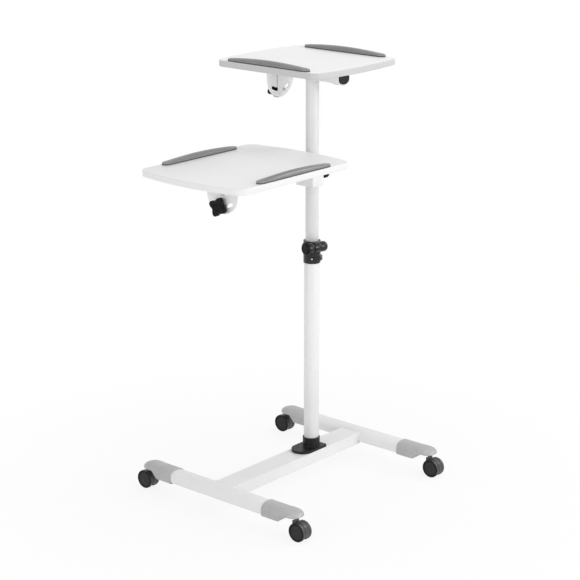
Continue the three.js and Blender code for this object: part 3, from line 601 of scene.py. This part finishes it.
def make_screws(name, body, points, diameter, height, recess, seed, place=Matrix.Identity(4)):
    """Zinc plated screw heads on points, moved by a matrix."""
    tree = bpy.data.node_groups.get("Screw heads") or screw_tree()
    piece = grow(name, points, [], tree, {
        "Head diameter": diameter, "Head height": height, "Recess": recess,
        "Finish": finish("zinc_plate"), "Seed": seed})
    piece.data.transform(place)
    return dress(smooth(piece, 35), body, None, "zinc_plate")


# Base: legs, end caps, beam and foot


def leg_outline(half, bottom, top, crown, foot, steps=12):
    """Section of a leg in X and Z, with an oval crown and small lower corners."""
    crown_x, crown_z = crown
    return [
        *arc(half - foot, bottom + foot, foot, foot, -QUARTER_TURN, 0, steps),
        *arc(half - crown_x, top - crown_z, crown_x, crown_z, 0, QUARTER_TURN, steps),
        *arc(crown_x - half, top - crown_z, crown_x, crown_z, QUARTER_TURN, HALF_TURN, steps),
        *arc(foot - half, bottom + foot, foot, foot, HALF_TURN, HALF_TURN * 1.5, steps),
    ]


def leg_crown(sizes, grown=0.0):
    return sizes.leg_crown_width + grown, sizes.leg_crown_height + grown


def make_leg(node, sizes):
    """A leg tube, open at both ends inside its caps."""
    wall = 0.0018
    low, high = corners(node)
    x = middle(node).x
    half = (high.x - low.x) / 2
    foot = sizes.leg_foot_radius
    outer = leg_outline(half, low.z, high.z, leg_crown(sizes), foot)
    inner = leg_outline(half - wall, low.z + wall, high.z - wall, leg_crown(sizes, -wall), foot - wall)

    def at(outline, y):
        return [Vector((x + across, y, z)) for across, z in outline]

    bm = bmesh.new()
    skin(bm, [at(outer, low.y), at(outer, high.y), at(inner, high.y), at(inner, low.y)], closed=True)
    dress(smooth_object(f"{node}_tube", bm), "base", node, "white_powder_coat")


def cap_rings(node, sizes):
    """Sections of an end cap from the bottom of its socket, round the rim and out to the nose."""
    low, high = corners(node)
    leg_low, leg_high = corners("leg_left")
    wall = leg_low.z - low.z
    half = (high.x - low.x) / 2
    leg_half = (leg_high.x - leg_low.x) / 2
    rim, tip = low.y, high.y
    over_castor, play, lip = 0.0028, 0.0003, 0.0006
    nose_under = corners("castor_left_back_housing")[1].z + over_castor
    cut_start = leg_high.y + 0.0023
    cut_length, cut_steps, cut_round = 0.0166, 6, 0.0015
    cut_end = cut_start + cut_length
    nose_foot, nose_round, nose_drop, lip_round = 0.0045, 0.030, 0.0125, 0.007
    round_z = high.z - nose_drop
    thinnest, foot_share, crown_share = 0.0006, 0.2, 0.97

    def section(y, half_width, bottom, top, crown, foot):
        width = min(crown[0], half_width)
        radius = min(foot, half_width, (top - bottom) * foot_share)
        height = min(crown[1], (top - bottom - radius) * crown_share)
        return [Vector((x, y, z)) for x, z in leg_outline(half_width, bottom, top, (width, height), radius)]

    def rounded(past, reach):
        """How much is left of a round end at a distance past its start."""
        return math.sqrt(max(0.0, 1 - (past / reach) ** 2))

    def inner(y):
        return section(y, leg_half + play, leg_low.z - play, leg_high.z + play, leg_crown(sizes, play),
                       sizes.leg_foot_radius + play)

    def outer(y, inset=0.0):
        top = high.z - inset
        if y > tip - nose_round:
            top = round_z + nose_drop * rounded(y - tip + nose_round, nose_round)
        bottom = nose_under
        if y < cut_start:
            bottom = low.z + inset
        elif y < cut_end:
            bottom = low.z + (nose_under - low.z) * (y - cut_start) / cut_length
        if y > tip - lip_round:
            bottom = round_z - (round_z - nose_under) * rounded(y - tip + lip_round, lip_round)
        width = half - inset
        if y > tip - half:
            width = half * rounded(y - tip + half, half)
        foot = sizes.leg_foot_radius + wall * 2 if y <= cut_start else nose_foot
        return section(y, max(width, thinnest), bottom, max(top, bottom + thinnest),
                       leg_crown(sizes, wall), foot)

    def rim_ring(share):
        """Rounds the rim between its inner and outer edges."""
        push = lip * math.sin(HALF_TURN * share)
        return [a.lerp(b, share) + Vector((0, lip - push, 0)) for a, b in zip(inner(rim), outer(rim))]

    rings = [inner(leg_high.y + play), inner(rim + lip)]
    rings += [rim_ring(i / 6) for i in range(7)]
    band, groove = rim + 0.0032, 0.0004
    rings += [outer(band), outer(band + groove, groove), outer(band + groove * 2, groove)]
    rings += [outer(band + groove * 3)]
    stations = [cut_start - cut_round]
    stations += [cut_start + cut_length * i / cut_steps for i in range(cut_steps + 1)]
    stations += [cut_start + cut_round, cut_end + 0.0008, cut_end + 0.003]
    nose_start, nose_steps = tip - half + 0.0005, 26
    stations += [nose_start + (tip - nose_start) * math.sin(QUARTER_TURN * i / nose_steps)
                 for i in range(nose_steps + 1)]
    return rings + [outer(y) for y in sorted(stations)]


def make_cap(node, rings):
    """One end cap, turned round for the front of the cart and moved onto its leg."""
    flip = Matrix.Rotation(HALF_TURN if node.endswith("front") else 0, 4, "Z")
    place = Matrix.Translation((middle(node).x, 0, 0)) @ flip
    bm = bmesh.new()
    skin(bm, rings)
    dress(smooth_object(f"{node}_moulding", bm, 40, place), "base", node, "grey_cap_plastic")


def make_foot(sizes):
    """Black foot under the post: a bullet-shaped plate with a flared collar."""
    low, high = corners("foot_flange")
    plate_top = low.z + 0.0065
    corner, nose = 0.005, 0.030
    side = (high.y - low.y) / 2
    right, left = high.x - POST.x, low.x - POST.x

    def plate_outline(shrink):
        radius = corner - shrink
        points = arc(right - corner, corner - side, radius, radius, -QUARTER_TURN, 0, 8)
        points += arc(right - corner, side - corner, radius, radius, 0, QUARTER_TURN, 8)
        points += arc(left + nose, 0, nose - shrink, side - shrink, QUARTER_TURN, QUARTER_TURN * 3, 40)
        return [(POST.x + x, POST.y + y) for x, y in points]

    edge = sizes.moulded_edge
    chamfer = edge * 0.6
    levels = [(chamfer, low.z), (0, low.z + chamfer)]
    levels += arc(edge, plate_top - edge, edge, edge, HALF_TURN, QUARTER_TURN, 4)
    bm = bmesh.new()
    skin(bm, [[Vector((x, y, z)) for x, y in plate_outline(shrink)] for shrink, z in levels])
    play, wall, flare, sunk = 0.0003, 0.0024, 0.0015, 0.003
    inner = extent("outer_tube").x / 2 + play
    outer = inner + wall
    profile = [(inner, low.z + sunk), (inner, high.z - 0.0006), (inner + 0.0006, high.z),
               (outer - 0.0008, high.z), (outer, high.z - 0.0008), (outer, plate_top + flare)]
    profile += arc(outer + flare, plate_top + flare, flare, flare, HALF_TURN, HALF_TURN * 1.5, 6)[1:]
    profile += [(outer + flare, low.z + sunk)]
    collar = bmesh.new()
    turn(collar, profile, sizes.round_steps, closed=True)
    bmesh.ops.transform(collar, matrix=Matrix.Translation(POST_AXIS), verts=collar.verts)
    absorb(bm, collar)
    dress(smooth_object("foot_flange_moulding", bm, 38), "base", "foot_flange", "black_grained_plastic")


def make_beam_bead(side, sizes):
    """The weld between the beam and one leg, up one side, over the top and down the other."""
    low, high = corners("cross_beam")
    leg_low, leg_high = corners(f"leg_{side}")
    leg_half = (leg_high.x - leg_low.x) / 2
    inward = 1 if side == "left" else -1
    crown_width, crown_height = leg_crown(sizes)
    climb_steps, top_steps = 14, 30

    def at(y, z):
        rise = min(1.0, max(0.0, z - leg_high.z + crown_height) / crown_height)
        reach = leg_half - crown_width * (1 - math.sqrt(1 - rise ** 2))
        return Vector((middle(f"leg_{side}").x + inward * reach, y, z))

    bottom = leg_low.z + sizes.leg_foot_radius
    climb = [bottom + (high.z - bottom) * i / climb_steps for i in range(climb_steps + 1)]
    points = [at(low.y, z) for z in climb]
    points += [at(low.y + (high.y - low.y) * i / top_steps, high.z) for i in range(1, top_steps)]
    points += [at(high.y, z) for z in reversed(climb)]
    make_bead(f"beam_weld_{side}", "base", points, False, sizes)


class CART_OT_base(bpy.types.Operator):
    """Make the legs, their end caps, the cross beam and the foot"""

    bl_idname = "cart.base"
    bl_label = "Base"

    def execute(self, context):
        sizes = context.scene.cart_sizes
        rings = cap_rings("end_cap_left_back", sizes)
        for side in SIDES:
            make_leg(f"leg_{side}", sizes)
            make_beam_bead(side, sizes)
            for end in ENDS:
                make_cap(f"end_cap_{side}_{end}", rings)
        eased_node("cross_beam", "base", "white_powder_coat", sizes.plate_edge)
        make_foot(sizes)
        for number in (1, 2):
            eased_node(f"foot_bolt_{number}", "base", "zinc_plate", sizes.plate_edge)
        return {"FINISHED"}


# Castors


# Radii on a wheel's outer face as shares of the wheel's own
RIM_SHARE, DISH_SHARE, HUB_SHARE = 0.80, 0.72, 0.26


def wheel_profile(radius, width):
    """Half section of a wheel from its inner face to its dished outer face."""
    tread, depth = 0.0024, 0.0013
    rim, dish, hub = radius * RIM_SHARE, radius * DISH_SHARE, radius * HUB_SHARE
    floor = width - depth
    profile = [(0, 0.0002), (radius - tread, 0)]
    profile += arc(radius - tread, tread, tread, tread, -QUARTER_TURN, 0, 6)[1:]
    profile += arc(radius - tread, width - tread, tread, tread, 0, QUARTER_TURN, 6)
    profile += [(rim + 0.0005, width), (rim, width - 0.0002), (dish, floor + 0.0002),
                (dish - 0.0005, floor), (hub + 0.0010, floor), (hub, floor + 0.0004),
                (hub - 0.0006, width - 0.0005), (hub - 0.0018, width), (0, width)]
    return profile


def make_wheel(node, housing_x, sizes):
    """One wheel, with finishes on the rim, the tread and the dished face; the tread's black is made much
    lighter as painted sheen.
    """
    low, high = corners(node)
    centre = middle(node)
    radius, width = (high.z - low.z) / 2, high.x - low.x
    outward = 1 if centre.x > housing_x else -1
    inner_face = low.x if outward > 0 else high.x
    place = aimed(Vector((outward, 0, 0)), Vector((inner_face, centre.y, centre.z)))
    bm = bmesh.new()
    turn(bm, wheel_profile(radius, width), sizes.round_steps)
    piece = dress(smooth_object(f"{node}_moulding", bm, 30, place), node, node,
                  "castor_rim_plastic", "castor_tread_plastic", "castor_face_plastic")
    for face in piece.data.polygons:
        height = abs(face.center.x - inner_face)
        reach = math.hypot(face.center.y - centre.y, face.center.z - centre.z)
        if height > width * 0.8 and reach < radius * DISH_SHARE:
            face.material_index = 2
        elif height < width * 0.86 and reach > radius * 0.9:
            # The tread faces take the lighter black, which is painted sheen
            face.material_index = 1


def make_castor(name, sizes):
    """Housing, axle, stem and both wheels of one castor."""
    # The hood takes the same lighter black, as painted sheen
    eased_node(f"{name}_housing", name, "castor_tread_plastic", sizes.moulded_edge, 3)
    eased_node(f"{name}_stem", "base", "zinc_plate", sizes.plate_edge)
    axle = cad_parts[f"{name}_axle"].data.materials
    axle.clear()
    axle.append(finish("zinc_plate"))
    for letter in ("a", "b"):
        make_wheel(f"{name}_wheel_{letter}", middle(f"{name}_housing").x, sizes)


class CART_OT_castors(bpy.types.Operator):
    """Make the four twin-wheel castors"""

    bl_idname = "cart.castors"
    bl_label = "Castors"

    def execute(self, context):
        for side in SIDES:
            for end in ENDS:
                make_castor(f"castor_{side}_{end}", context.scene.cart_sizes)
        return {"FINISHED"}


# Post: outer tube, bush and mast


def make_tube(node, body, finish_name, sizes, cut=0.0):
    """A tube round the post's axis with eased rims, cut short at the top where asked."""
    wall, lip = 0.0015, 0.0005
    low, high = corners(node)
    outer = (high.x - low.x) / 2
    inner, bottom, top = outer - wall, low.z, high.z - cut
    profile = [(inner, bottom), (outer - lip, bottom), (outer, bottom + lip), (outer, top - lip),
               (outer - lip * 0.3, top - lip * 0.3), (outer - lip, top), (inner + lip, top),
               (inner, top - lip)]
    bm = bmesh.new()
    turn(bm, profile, sizes.round_steps, closed=True)
    piece = smooth_object(f"{node}_round", bm, 50, Matrix.Translation(POST_AXIS))
    dress(piece, body, node, finish_name)


class CART_OT_post(bpy.types.Operator):
    """Make the outer tube, its guide bush and the sliding mast"""

    bl_idname = "cart.post"
    bl_label = "Post"

    def execute(self, context):
        sizes = context.scene.cart_sizes
        make_tube("outer_tube", "base", "white_powder_coat", sizes)
        below_arm_middle = 0.003
        mast_top = middle("upper_arm_cap").z - below_arm_middle
        # The mast takes the darker coat, which is painted shade from the boards
        make_tube("mast_tube", "mast", "mast_powder_coat", sizes, cut=corners("mast_tube")[1].z - mast_top)
        eased_node("guide_bush", "bush", "black_grained_plastic", sizes.plate_edge)
        return {"FINISHED"}


# Clamp


def make_set_screw():
    """Small screw in the front of the clamp's sleeve."""
    azimuth = math.radians(219.5)
    outward = Vector((math.cos(azimuth), math.sin(azimuth), 0))
    sleeve_radius, below_rim = 0.0261, 0.0092
    height = corners("outer_tube")[1].z - below_rim
    place = aimed(outward, POST_AXIS + outward * sleeve_radius + UP * height)
    make_screws("clamp_set_screw", "base", [Vector()], diameter=0.0046, height=0.0016, recess=0.0015,
                seed=1, place=place)


class CART_OT_clamp(bpy.types.Operator):
    """Make the clamp at the top of the outer tube"""

    bl_idname = "cart.clamp"
    bl_label = "Clamp"

    def execute(self, context):
        sizes = context.scene.cart_sizes
        eased_node("clamp_body", "base", "glossy_black_plastic", sizes.moulded_edge, 3)
        eased_node("clamp_knob", "clamp_knob", "knob_plastic", sizes.moulded_edge * 1.4, 4)
        eased_node("clamp_end", "base", "glossy_black_plastic", sizes.moulded_edge, 3)
        eased_node("clamp_bolt", "base", "zinc_plate", sizes.plate_edge)
        make_set_screw()
        return {"FINISHED"}


# Shelf carriers: arms, tilt plates, brackets and knobs


def star_outline(radius, waist, lobes, first, steps):
    """Angles and radii of a lobed outline, with its first lobe at a given angle from X."""
    mean, swing = (radius + waist) / 2, (radius - waist) / 2
    angles = [math.tau * i / steps for i in range(steps)]
    return [(a, mean + swing * math.cos(lobes * (a - first))) for a in angles]


def make_star_knob(shelf):
    """Four-lobed knob with rounded edges, a cap in its face and a hub towards the plate."""
    node = f"{shelf}_tilt_knob"
    outward = OUTWARD[shelf]
    depth = abs(extent(node).dot(outward))
    screw = middle(f"{shelf}_knob_screw")
    face_reach = outward.dot(middle(node) + outward * depth / 2 - screw)
    hub_length, hub_radius, edge = 0.007, 0.009, 0.0028
    hub_steps, edge_steps = 48, 5
    outline = star_outline(radius=0.024, waist=0.015, lobes=4, first=math.radians(-20), steps=120)

    def at(inset, height):
        return [Vector(((r - inset) * math.cos(a), (r - inset) * math.sin(a), height)) for a, r in outline]

    levels = arc(edge, hub_length + edge, edge, edge, -QUARTER_TURN, -HALF_TURN, edge_steps)
    levels += arc(edge, depth - edge, edge, edge, HALF_TURN, QUARTER_TURN, edge_steps)
    bm = bmesh.new()
    skin(bm, [at(inset, height) for inset, height in levels])
    hub = bmesh.new()
    turn(hub, [(0, 0), (hub_radius - 0.0006, 0), (hub_radius, 0.0006), (hub_radius + 0.0006, hub_length),
               (hub_radius, hub_length + 0.003), (0, hub_length + 0.003)], hub_steps)
    turn(hub, [(0, depth - 0.002), (0.0085, depth - 0.002), (0.0085, depth - 0.0006), (0.0078, depth),
               (0.0066, depth), (0.006, depth - 0.0012), (0, depth - 0.0012)], hub_steps)
    absorb(bm, hub)
    place = aimed(outward, screw + outward * (face_reach - depth))
    dress(smooth_object(f"{node}_moulding", bm, 38, place), node, node, "knob_plastic")


def make_shelf_screws(shelf, sizes):
    """Wood screws that hold the tilt plate and the hinge bracket under a board."""
    outward, across = OUTWARD[shelf], ACROSS[shelf]
    plate, bracket = f"{shelf}_tilt_plate", f"{shelf}_hinge_bracket"
    plate_thickness, bracket_thickness = 0.003, 0.0025
    inset, spacing, foot_reach = 0.0095, 0.028, 0.0125
    flange = middle(plate) + outward * (abs(extent(plate).dot(outward)) / 2 - inset)
    flange.z = corners(plate)[1].z - plate_thickness
    foot = middle(bracket)
    foot.z = corners(bracket)[1].z - bracket_thickness
    points = [flange + across * step for step in (-spacing, 0, spacing)]
    points += [foot + across * reach for reach in (-foot_reach, foot_reach)]
    make_screws(f"{shelf}_shelf_screws", f"{shelf}_shelf", points, diameter=sizes.screw_head,
                height=0.0024, recess=0.0022, seed=3)


def make_carrier_beads(sizes):
    """The welds between the lower arm and its collar, and between the mast and the upper arm."""
    side, height, flat = 0.018, 0.020, 0.009
    depth = height - flat
    arc_steps, ring_steps = 24, 72
    collar_low, collar_high = corners("carriage_collar")
    arm_top = collar_high.z - 0.001
    outline = [(y, 0) for y in (side, 0, -side)]
    outline += arc(0, -flat, side, depth, HALF_TURN, math.tau, arc_steps)
    points = [Vector((collar_low.x, POST.y + y, arm_top + z)) for y, z in outline]
    make_bead("lower_arm_weld", "carriage", points, True, sizes)
    radius = extent("mast_tube").x / 2
    points = []
    for i in range(ring_steps):
        angle = math.tau * i / ring_steps
        x, y = radius * math.cos(angle), radius * math.sin(angle)
        drop = flat + depth * math.sqrt(1 - (x / side) ** 2)
        points.append(Vector((POST.x + x, POST.y + y, middle("upper_arm_cap").z + height / 2 - drop)))
    make_bead("mast_weld", "mast", points, True, sizes)


class CART_OT_carriers(bpy.types.Operator):
    """Make the arms, tilt plates, hinge brackets, knobs and the carriage"""

    bl_idname = "cart.carriers"
    bl_label = "Shelf carriers"

    def execute(self, context):
        sizes = context.scene.cart_sizes
        make_carrier_beads(sizes)
        for shelf, carrier in CARRIERS.items():
            for part, body, finish_name in (("arm", carrier, "white_powder_coat"),
                                            ("tilt_plate", f"{shelf}_shelf", "white_powder_coat"),
                                            ("hinge_bracket", f"{shelf}_shelf", "white_powder_coat"),
                                            ("pivot_bolt", carrier, "zinc_plate"),
                                            ("hinge_pin", carrier, "zinc_plate")):
                eased_node(f"{shelf}_{part}", body, finish_name, sizes.plate_edge)
            eased_node(f"{shelf}_knob_screw", f"{shelf}_tilt_knob", "zinc_plate", sizes.plate_edge * 0.4)
            make_star_knob(shelf)
            make_shelf_screws(shelf, sizes)
        eased_node("upper_arm_cap", "mast", "black_grained_plastic", sizes.moulded_edge)
        eased_node("carriage_collar", "carriage", "white_powder_coat", sizes.moulded_edge)
        eased_node("carriage_knob", "carriage_knob", "knob_plastic", sizes.plate_edge)
        return {"FINISHED"}


# Boards and stops


def board_outline(length, width, bow, corner):
    """Outline with straight long sides, bowed ends and rounded corners, about its middle."""
    corner_steps, end_steps = 16, 36
    half, side = length / 2 - bow, width / 2
    inner = side - corner
    end = arc(half - corner, -inner, corner, corner, -QUARTER_TURN, 0, corner_steps)
    end += [(half, -inner + 2 * inner * i / end_steps) for i in range(1, end_steps)]
    end += arc(half - corner, inner, corner, corner, 0, QUARTER_TURN, corner_steps)
    bulged = []
    for x, y in end:
        share = (x - half + corner) / corner
        bulged.append((x + bow * (1 - (y / side) ** 2) * share, y))
    return bulged + [(-x, -y) for x, y in bulged]


def make_board(shelf, sizes):
    """A laminated board with rounded edges, its edge faces given a darker copy of the laminate as painted
    shade.
    """
    node = f"{shelf}_shelf"
    low, high = corners(node)
    centre, size = middle(node), high - low
    corner = 0.020
    if shelf == "lower":
        outline = board_outline(size.x, size.y, 0.0195, corner)
    else:
        outline = [(-y, x) for x, y in board_outline(size.y, size.x, 0.015, corner)]
    bm = bmesh.new()
    skin(bm, [[Vector((centre.x + x, centre.y + y, z)) for x, y in outline] for z in (low.z, high.z)])
    tidy_mesh(bm)
    piece = smooth(ease(make_object(f"{node}_board", bm), sizes.board_edge, 5, 60), 40)
    # The upper board's laminate is the lighter copy, as painted light
    dress(piece, node, node, f"{shelf}_laminate", f"{shelf}_edge_band")
    # Top and bottom faces keep the laminate; the edge faces take its darker copy as painted shade
    for face in piece.data.polygons:
        face.material_index = 0 if abs(face.normal.z) > 0.9 else 1


def stop_rings(length, width, height, round_end, seat):
    """Sections of a stop along X: domed on top, arched along its length, with rounded ends."""
    end_height, side = 0.0055, 0.003
    ring_steps, dome_steps = 64, 20
    half = length / 2
    rings = []
    for i in range(ring_steps + 1):
        share = math.sin(QUARTER_TURN * (2 * i / ring_steps - 1))
        x = half * share
        past = max(0.0, abs(x) - half + round_end) / round_end
        w = max(width / 2 * math.sqrt(max(0.0, 1 - past ** 2)), SLIVER)
        top = end_height + (height - end_height) * (1 - share ** 2)
        drop = min(1.0, w / (width / 2))
        crown = seat + side + (top - seat - side) * math.sqrt(drop)
        shoulder = seat + side * drop
        points = [(-w, seat), (w, seat)]
        points += arc(0, shoulder, w, max(crown - shoulder, SLIVER), 0, HALF_TURN, dome_steps)
        rings.append([Vector((x, y, z)) for y, z in points])
    return rings


def make_stop(shelf, name):
    """An edge stop on a thin seat coloured near black as a painted contact shadow along its foot."""
    node = f"{shelf}_stop_{name}"
    seat, round_end, shrink, overlap = 0.0020, 0.016, 0.0002, 0.0002
    turned = 0 if shelf == "lower" else QUARTER_TURN
    width, length = sorted(extent(node).xy)
    bm = bmesh.new()
    skin(bm, stop_rings(length, width, extent(node).z, round_end, seat))
    tidy_mesh(bm)
    stop_faces = len(bm.faces)
    outline = []
    for start, sign in ((-QUARTER_TURN, 1), (QUARTER_TURN, -1)):
        outline += arc(sign * (length / 2 - round_end), 0, round_end - shrink, width / 2 - shrink,
                       start, start + HALF_TURN, 16)
    base = bmesh.new()
    skin(base, [[Vector((x, y, z)) for x, y in outline] for z in (0, seat + overlap)])
    tidy_mesh(base)
    absorb(bm, base)
    centre = middle(node)
    place = Matrix.Translation((centre.x, centre.y, corners(node)[0].z)) @ Matrix.Rotation(turned, 4, "Z")
    piece = smooth(make_object(f"{node}_moulding", bm, place), 45)
    dress(piece, f"{shelf}_shelf", node, "grey_stop_plastic", "stop_seat_rubber")
    # The seat's faces take the near-black painted contact shadow
    for face in piece.data.polygons:
        face.material_index = 0 if face.index < stop_faces else 1


class CART_OT_shelves(bpy.types.Operator):
    """Make both boards and their edge stops"""

    bl_idname = "cart.shelves"
    bl_label = "Shelves"

    def execute(self, context):
        for shelf in CARRIERS:
            make_board(shelf, context.scene.cart_sizes)
            for name in ("near", "far"):
                make_stop(shelf, name)
        return {"FINISHED"}


# Stage: floor, sky, lamps and camera


# Where the camera stands from the foot of the post, and how it looks clockwise from +Y and down
CAMERA_PLACE = Vector((-3.2855, -2.7628, 1.7502))
CAMERA_AZIMUTH = math.radians(49.22)
CAMERA_PITCH = math.radians(16.48)
FOCAL_PIXELS = 1812.7
IMAGE_PIXELS = 580


def white_where_seen(tree, lit, white_kind, output, share=1.0):
    """Mixes white into a shader, for what is seen directly and in reflections and refractions."""
    path = add_node(tree, "ShaderNodeLightPath").outputs
    mirrored = maths(tree, "MAXIMUM", path["Is Glossy Ray"], path["Is Transmission Ray"])
    seen = maths(tree, "MAXIMUM", path["Is Camera Ray"], mirrored)
    white = add_node(tree, white_kind, {"Color": (1, 1, 1, 1), "Strength": 1})
    mix = add_node(tree, "ShaderNodeMixShader", {
        "Fac": maths(tree, "MULTIPLY", seen, share), 1: lit, 2: white.outputs[0]})
    tree.links.new(mix.outputs["Shader"], output.inputs["Surface"])


def make_sky(studio):
    """Even light from all round, seen as plain white."""
    world = bpy.data.worlds.new("Studio sky")
    world.use_nodes = True
    tree = world.node_tree
    sky = tree.nodes["Background"]
    sky.inputs["Color"].default_value = (1, 1, 1, 1)
    sky.inputs["Strength"].default_value = studio.sky_strength
    white_where_seen(tree, sky.outputs["Background"], "ShaderNodeBackground", tree.nodes["World Output"])
    bpy.context.scene.world = world


def make_floor():
    """A pale floor that fades into white and keeps the cart's shadow."""
    reach, drop = 6.0, 0.0002
    bm = bmesh.new()
    around = ((-reach, -reach), (reach, -reach), (reach, reach), (-reach, reach))
    bm.faces.new([bm.verts.new((x, y, -drop)) for x, y in around])
    floor = make_object("studio_floor", bm)
    material, tree = new_material("studio_floor_paint", (0.9, 0.9, 0.9), {
        "Roughness": 0.9, "Specular IOR Level": 0})
    place = add_node(tree, "ShaderNodeTexCoord").outputs["Object"]
    away = add_node(tree, "ShaderNodeVectorMath", {0: place}, operation="LENGTH").outputs["Value"]
    fade = spread(tree, away, 0.86, 1.0, start=0.3, end=1.0)
    white_where_seen(tree, tree.nodes["Principled BSDF"].outputs["BSDF"], "ShaderNodeEmission",
                     tree.nodes["Material Output"], fade)
    floor.data.materials.append(material)


def make_lamp(name, place, size, power):
    """A square lamp that faces the middle of the cart."""
    target = Vector((POST.x - 0.1, 0, 0.55))
    lamp = bpy.data.lights.new(name, "AREA")
    lamp.size = size
    lamp.energy = power
    holder = add_object(name, lamp)
    holder.location = place
    holder.rotation_euler = (target - Vector(place)).to_track_quat("-Z", "Y").to_euler()


def make_camera():
    camera = bpy.data.cameras.new("Cart camera")
    camera.sensor_width = 36
    camera.lens = FOCAL_PIXELS * camera.sensor_width / IMAGE_PIXELS
    camera.clip_end = 100
    holder = add_object("Cart camera", camera)
    holder.location = POST_AXIS + CAMERA_PLACE
    holder.rotation_euler = (QUARTER_TURN - CAMERA_PITCH, 0, -CAMERA_AZIMUTH)
    bpy.context.scene.camera = holder


class CART_OT_stage(bpy.types.Operator):
    """Set the floor, the sky, the lamps and the camera"""

    bl_idname = "cart.stage"
    bl_label = "Stage"

    def execute(self, context):
        studio = context.scene.cart_studio
        make_sky(studio)
        make_floor()
        make_lamp("Softbox", (0.5, -3.8, 1.7), 2.0, studio.softbox_power)
        make_lamp("Fill", (-3.9, -0.3, 1.3), 2.0, studio.fill_power)
        make_lamp("Rim", (3.0, -2.0, 2.9), 1.4, studio.rim_power)
        make_lamp("Top", (POST.x - 0.1, -0.3, 4.5), 1.6, studio.top_power)
        make_camera()
        context.scene.view_settings.view_transform = "Standard"
        return {"FINISHED"}


class CART_PT_panel(bpy.types.Panel):
    """Lists the steps that build the cart, with their settings"""

    bl_label = "Audio Visual Cart"
    bl_idname = "CART_PT_panel"
    bl_space_type = "VIEW_3D"
    bl_region_type = "UI"
    bl_category = "Cart"

    def draw(self, context):
        layout = self.layout
        for step in STEPS:
            layout.operator(step.bl_idname)
        for group in (context.scene.cart_sizes, context.scene.cart_colours, context.scene.cart_studio):
            box = layout.box()
            for name in group.__annotations__:
                box.prop(group, name)


STEPS = (CART_OT_base, CART_OT_castors, CART_OT_post, CART_OT_clamp, CART_OT_carriers, CART_OT_shelves,
         CART_OT_stage)
CLASSES = (CartSizes, CartColours, CartStudio, *STEPS, CART_PT_panel)


def register():
    for item in CLASSES:
        bpy.utils.register_class(item)
    bpy.types.Scene.cart_sizes = PointerProperty(type=CartSizes)
    bpy.types.Scene.cart_colours = PointerProperty(type=CartColours)
    bpy.types.Scene.cart_studio = PointerProperty(type=CartStudio)


def unregister():
    del bpy.types.Scene.cart_studio
    del bpy.types.Scene.cart_colours
    del bpy.types.Scene.cart_sizes
    for item in reversed(CLASSES):
        bpy.utils.unregister_class(item)


def main():
    register()
    bpy.ops.cart.base()
    bpy.ops.cart.castors()
    bpy.ops.cart.post()
    bpy.ops.cart.clamp()
    bpy.ops.cart.carriers()
    bpy.ops.cart.shelves()
    bpy.ops.cart.stage()


if __name__ == "__main__":
    main()
